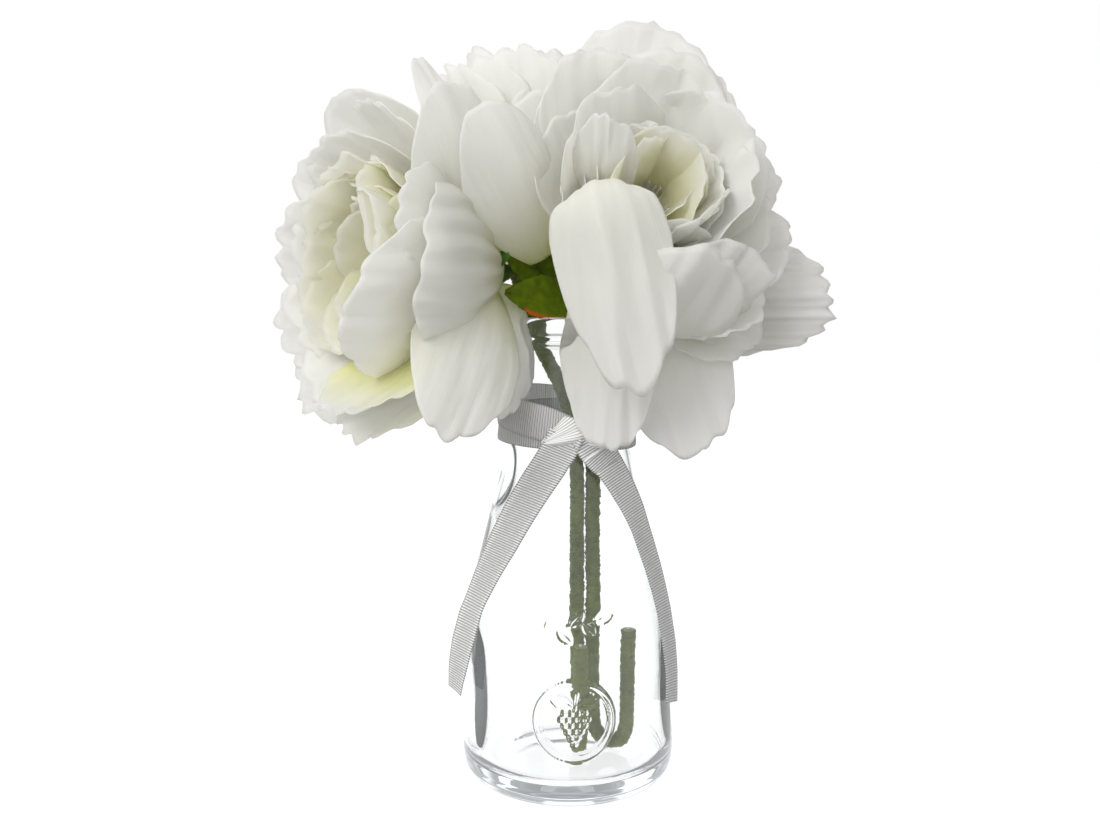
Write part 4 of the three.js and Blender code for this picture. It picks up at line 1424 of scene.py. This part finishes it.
def tail_edges(stations, end_cut):
    """The two edges of a tail. end_cut tilts its cut end, in mm from one edge to the other."""
    line = rounded(stations, 10)
    middle = np.array([on_bottle(*station[:3]) for station in line])
    ahead = np.gradient(middle, axis=0)
    ahead /= np.linalg.norm(ahead, axis=1)[:, None]
    facing = np.radians([station[3] for station in line])
    outward = np.column_stack([np.sin(facing), -np.cos(facing), 0 * facing])
    across = np.cross(outward, ahead)
    across /= np.linalg.norm(across, axis=1)[:, None]
    across *= RIBBON["width"] / 2
    last = ahead * np.linspace(0, 1, len(line))[:, None] ** 12 * end_cut / 2 * MM
    return middle + across + last, middle - across - last


for name, stations, end_cut in (("left", LEFT_TAIL, -3.0), ("right", RIGHT_TAIL, 1.5)):
    edges = tail_edges(stations, end_cut)
    tail, length = ribbon_piece(f"ribbon_{name}_tail_cloth", *edges, 0.3, 0.12, TAIL_GROSGRAIN,
                                f"ribbon_tail_{name}")

# %% [markdown]
# The knot is the same ribbon where it is pulled through itself. Ribbon can't bend in its own plane, so
# at a turn it gathers into folds that fan out from one corner, and its ribs fan with them. Each half of
# the knot is one such fan: a sheet laid out round its corner by angle and distance, bulged off the
# glass over what lies beneath, and tucked back in at its far rim.

# %% One fan of the knot
KNOT_RIBS = 13  # ribs in each fan


def knot_fold(corner, first, last, reach, lift, pleats, seed, mirror=1):
    """Half the knot, as places, faces, and each place's numbers along and across the ribbon.

    first and last are angles in degrees from level; corner is (round the bottle, height) in mm.
    reach gives the fan's length as it turns, and lift its clearance at the corner, at the rim, and
    what the bulge between adds.
    """
    rings, spokes = 26, 81
    places, along, across = [], [], []
    for j in range(spokes):
        turn = j / (spokes - 1)
        swell = math.sin(math.pi * turn)
        angle = math.radians(first + (last - first) * turn)
        length = np.interp(turn, *reach)
        for i in range(rings):
            out = i / (rings - 1)
            distance = 0.4 + (length - 0.4) * out
            gather = math.cos(pleats * math.pi * turn * 2 + seed + 1.5 * out) * swell ** 0.5
            soft = math.sin(7 * turn + 3 * out + seed)
            bulge = math.sin(math.pi * min(1, out * 1.02)) ** 0.7
            clear = lift[0] + (lift[1] - lift[0]) * out + lift[2] * bulge * swell ** 0.6
            clear += (0.42 * gather + 0.22 * soft) * bulge
            rib = 0.05 * math.sin(2 * math.pi * KNOT_RIBS * turn)
            u = corner[0] + mirror * distance * math.cos(angle)
            height = corner[1] + distance * math.sin(angle)
            azimuth = math.degrees(u * MM / (bottle_radius(height * MM) + 3 * MM))
            places.append(on_bottle(azimuth, height, clear + rib))
            along.append(KNOT_RIBS * turn)
            across.append(2 * out - 1)
    faces = []
    for j in range(spokes - 1):
        for i in range(rings - 1):
            a = j * rings + i
            face = (a, a + 1, a + rings + 1, a + rings)
            faces.append(face if mirror * (last - first) > 0 else face[::-1])
    return places, faces, along, across


# %% The knot
KNOT_FOLDS = [
    knot_fold(corner=(-9.7, 123.0), first=47, last=-6, reach=([0, 0.3, 0.65, 1], [12.6, 15.5, 18.5, 13.6]),
              lift=(2.6, 2.3, 3.0), pleats=2.5, seed=0.4),
    knot_fold(corner=(16.8, 121.5), first=50, last=-8, reach=([0, 0.35, 0.7, 1], [11, 12.5, 14, 12]),
              lift=(2.2, 2.0, 1.6), pleats=2.2, seed=2.0, mirror=-1),
]
places, faces, along, across = [], [], [], []
for fold_places, fold_faces, fold_along, fold_across in KNOT_FOLDS:
    faces += [tuple(corner + len(places) for corner in face) for face in fold_faces]
    places += fold_places
    along += fold_along
    across += fold_across
knot = make_piece("ribbon_knot_cloth", places, faces, TAIL_GROSGRAIN, "ribbon", "ribbon_knot")
for key, values in (("ribbon_along", along), ("ribbon_across", across)):
    knot.data.attributes.new(key, "FLOAT", "POINT").data.foreach_set("value", values)
thicken(knot, RIBBON["thickness"])

# %% [markdown]
# ## The stems and leaves
#
# A spray is a wire in a plastic core with green flock paper wound over it, so it is even in thickness,
# fuzzy at its edge, and cut square. A tree sweeps a circle along the stem's line and roughens it. The
# flock's fuzz is real relief of a few tenths of a millimetre, because it shows against the light. The
# lower ends are bent back up in the bottle, with their paler cut faces and the wire's tip showing.

# %% Stem tree
STEM_RADIUS = 2.55 * MM
FLOCK_STEP = 0.34 * MM  # how far apart the rings of a stem's mesh are
FLOCK_FUZZ = 1.5 * MM


def stem_tree():
    """Sweeps a circle along a line and roughens it."""
    tree, given = start_tree("stem", [
        ("Line", "Object"), ("Radius", "Float"), ("Step", "Float"), ("Fuzz", "Float"),
        ("Cloth", "Material"),
    ])
    line = new_node(tree, "GeometryNodeObjectInfo", {"Object": given["Line"]})
    steps = {"Curve": line.outputs["Geometry"], "Length": given["Step"]}
    even = new_node(tree, "GeometryNodeResampleCurve", steps, mode="LENGTH")
    ring = new_node(tree, "GeometryNodeCurvePrimitiveCircle", {"Resolution": 24, "Radius": given["Radius"]})
    tube = new_node(tree, "GeometryNodeCurveToMesh", {
        "Curve": even.outputs[0], "Profile Curve": ring.outputs[0], "Fill Caps": True})
    place = new_node(tree, "GeometryNodeInputPosition").outputs[0]
    fuzz = noise(tree, place, 1500.0, 1.0) + noise(tree, place, 420.0, 1.0) * 0.8
    height = fuzz * Field(tree, given["Fuzz"])
    normal = new_node(tree, "GeometryNodeInputNormal").outputs[0]
    kept = keep_number(tree, tube.outputs[0], "flock", fuzz)
    rough = new_node(tree, "GeometryNodeSetPosition", {
        "Geometry": kept, "Offset": vector_maths(tree, "SCALE", normal, Scale=height)})
    end_tree(tree, rough.outputs[0], given["Cloth"])
    return tree


GROW_STEM = stem_tree()
print(f"stem tree: {len(GROW_STEM.nodes)} nodes")


# %% Stem finishes
def flock():
    """Olive flock paper: mottled and matt, and paler where its fuzz stands out."""
    material, tree, shader = new_material("stem_flock")
    fuzz = shader_number(tree, "flock")
    place = new_node(tree, "ShaderNodeTexCoord").outputs["Object"]
    shade = fuzz * 0.8 + noise(tree, place, 90.0, 2.0) + 0.5
    colour = ramp_colours(tree, shade, [(0.2, (0.068, 0.09, 0.012)), (0.8, (0.175, 0.22, 0.035))])
    fill(tree, shader, {
        "Base Color": colour, "Roughness": 0.85, "Sheen Weight": 0.5, "Sheen Tint": (0.65, 0.72, 0.45, 1)})
    return material


def cut_plastic():
    """The paler green core that shows where a stem is cut."""
    material, tree, shader = new_material("cut_stem")
    place = new_node(tree, "ShaderNodeTexCoord").outputs["Object"]
    colour = ramp_colours(tree, noise(tree, place, 700.0, 2.0) + 0.5, [
        (0.3, (0.28, 0.36, 0.13)), (0.7, (0.42, 0.50, 0.22))])
    fill(tree, shader, {"Base Color": colour, "Roughness": 0.45})
    return material


def wire_steel():
    """The bright steel wire inside."""
    material, tree, shader = new_material("wire")
    fill(tree, shader, {"Base Color": (0.75, 0.75, 0.72, 1), "Metallic": 1.0, "Roughness": 0.3})
    return material


FLOCK, CUT_PLASTIC, WIRE = flock(), cut_plastic(), wire_steel()
print("stem finishes: flock, cut core and wire")


# %% [markdown]
# Each spray is one long stem that rises from its bent-up end, through the neck, to its own head, and a
# branch that leaves it above the mouth for a second head. Their lines are the same as in the frame.

# %% Sprays
def under(head, distance):
    """A point on a head's pin, below its petals."""
    return [v / MM for v in HEAD_FRAMES[head] @ Vector((0, 0, -distance * MM))]


SOCKET = 9.4  # where a stem ends inside its calyx cup, in mm under the petals
SPRAYS = {
    "left": [
        [(4.4, -12.4, 50), (4.4, -12.6, 24), (4.2, -10.5, 14.4), (3.9, -6, 11.6), (3.5, -1.4, 14.6),
         (3.3, 0.2, 26), (3.3, 0.4, 70), (3, 0.4, 112), (-0.6, 0.6, 135), (-9.4, 1, 154), (-14.6, 1.6, 168),
         under("left", SOCKET + 5), under("left", SOCKET)],
        [(-11.2, 1.2, 158), (-9.2, 6, 168), under("top", SOCKET + 5), under("top", SOCKET)],
    ],
    "right": [
        [(21.6, -5, 54), (21.4, -4.6, 28), (20.2, -3.4, 15), (15.2, -1.4, 11.6), (10.2, 0.2, 15),
         (9, 0.8, 26), (9, 1.2, 70), (8.8, 1.4, 112), (6.6, 4.2, 137), (3.4, 6.6, 157), (6.2, 7.6, 172),
         under("right", SOCKET + 5), under("right", SOCKET)],
        [(3.4, 6.8, 160), (10, 11.5, 167), under("rear", SOCKET + 5), under("rear", SOCKET)],
    ],
}
print(f"{len(SPRAYS)} sprays, each a stem and a branch")

# %% Stems and their cut ends
# Each outline is a list of (radius, height over the stem's end) in mm.
CUT_FACE = [(2.3, -0.5), (2.35, 0.12), (2.1, 0.2), (0.8, 0.08)]
WIRE_TIP = [(0.55, -0.4), (0.55, 0.8), (0.4, 0.9)]


def turned_cap(name, outline, place, aim, material):
    """A small turned shape on a stem's end, from an outline of (radius, height) in mm."""
    columns = 24
    turn = aim.to_track_quat("Z", "Y").to_matrix().to_4x4()
    matrix = Matrix.Translation(place) @ turn
    points = [(0, 0, outline[0][1])]
    for radius, height in outline:
        for k in range(columns):
            a = 2 * math.pi * k / columns
            points.append((radius * math.cos(a), radius * math.sin(a), height))
    points.append((0, 0, outline[-1][1]))
    placed = [matrix @ (Vector(p) * MM) for p in points]
    make_piece(name, placed, lathe_faces(len(outline), columns), material, "stem")


def flocked_stem(name, line, node):
    """One stem or branch along its line, rough with flock."""
    path = edge_line(f"{name}_line", line)
    stem = grown(add_object(name, bpy.data.meshes.new(name)), GROW_STEM, {
        "Line": path, "Radius": STEM_RADIUS, "Step": FLOCK_STEP, "Fuzz": FLOCK_FUZZ, "Cloth": FLOCK})
    bpy.data.objects.remove(path)
    hand_over(stem, "stem", node)


for name, (stem, branch) in SPRAYS.items():
    stem = rounded(stem, 12) * MM
    flocked_stem(f"{name}_stem_flocked", stem, f"{name}_spray")
    flocked_stem(f"{name}_branch_flocked", rounded(branch, 12) * MM, f"{name}_spray")
    end, aim = Vector(stem[0]), Vector(stem[0] - stem[1])
    turned_cap(f"{name}_cut_face", CUT_FACE, end, aim, CUT_PLASTIC)
    turned_cap(f"{name}_wire", WIRE_TIP, end, aim, WIRE)
    length = np.linalg.norm(np.diff(stem, axis=0), axis=1).sum()
    print(f"{name} spray: {length / MM:.0f} mm of stem")

# %% [markdown]
# The three leaves are die-cut green cloth with a toothed edge, a folded midrib and pressed side veins.
# They are few and each is its own shape, so they are built directly: a grid from stalk to tip, with
# its teeth cut by a sawtooth along both edges. One of them has a rust-coloured lower edge.

# %% Leaves
LEAF_CLOTH = green_cloth("leaf_cloth", (0.05, 0.085, 0.001), (0.12, 0.175, 0.003), tint=(0.38, 0.09, 0.01))
LEAF_THICKNESS = 0.35 * MM
TEETH, VEINS = 9.5, 8  # along each edge and each side
LEAVES = {
    "lower": {"points": [(4.8, 4.15, 168.4), (-4, -12, 170), (-21.5, -15, 173.5)], "face": (0, -0.9, 0.4),
              "width": 17, "tint": 1.0},
    "upper": {"points": [(-5, 6.2, 174), (-9, -5, 182.5), (-24, -10, 191.5)], "face": (0.3, -0.9, 0.3),
              "width": 18, "tint": 0.0},
    "rear": {"points": [(-9.66, 10.4, 171.6), (-15, 25, 172), (-26, 34, 166)], "face": (-0.3, 0.4, 0.86),
             "width": 15, "tint": 0.0},
}


def toothed_leaf(name, points, face, width, tint):
    """A leaf bent along three points: its stalk end, its middle's pull and its tip."""
    rows, columns = 73, 21
    a, b, c = (np.array(p, float) for p in points)
    up = np.array(face, float) / np.linalg.norm(face)
    places, edge = [], []
    for i in range(rows):
        t = i / (rows - 1)
        centre = a * (1 - t) ** 2 + b * 2 * t * (1 - t) + c * t * t
        ahead = (b - a) * (1 - t) + (c - b) * t
        side = np.cross(ahead, up)
        side /= np.linalg.norm(side)
        wide = width / 2 * math.sin(math.pi * min(1, 0.10 + t * 0.885)) ** 0.85 + 0.35
        for j in range(columns):
            s = 2 * j / (columns - 1) - 1
            tooth = 1 + 0.10 * ((t * TEETH + 0.15 * s) % 1 - 0.5) * abs(s) ** 3 * min(1, 6 * t)
            vein = 0.22 * abs(math.sin(math.pi * (t * VEINS - abs(s) * 1.3))) ** 0.5 * (1 - abs(s) ** 4)
            fold = abs(s) * wide * 0.25 + vein - 0.4 * math.exp(-(s / 0.08) ** 2)
            wave = 0.5 * math.sin(9 * t + 2 * s) * abs(s)
            places.append((centre + side * s * wide * tooth + up * (fold + wave)) * MM)
            edge.append(tint * max(0.0, -s) if 0.3 < t < 0.8 else 0.0)
    faces = [(r * columns + k, r * columns + k + 1, (r + 1) * columns + k + 1, (r + 1) * columns + k)
             for r in range(rows - 1) for k in range(columns - 1)]
    leaf = make_piece(f"{name}_leaf_cloth", places, faces, LEAF_CLOTH, "leaf", f"leaf_{name}")
    leaf.data.attributes.new("leaf_edge", "FLOAT", "POINT").data.foreach_set("value", edge)
    thicken(leaf, LEAF_THICKNESS)


for name, shape in LEAVES.items():
    toothed_leaf(name, **shape)
print(f"{len(LEAVES)} toothed leaves")
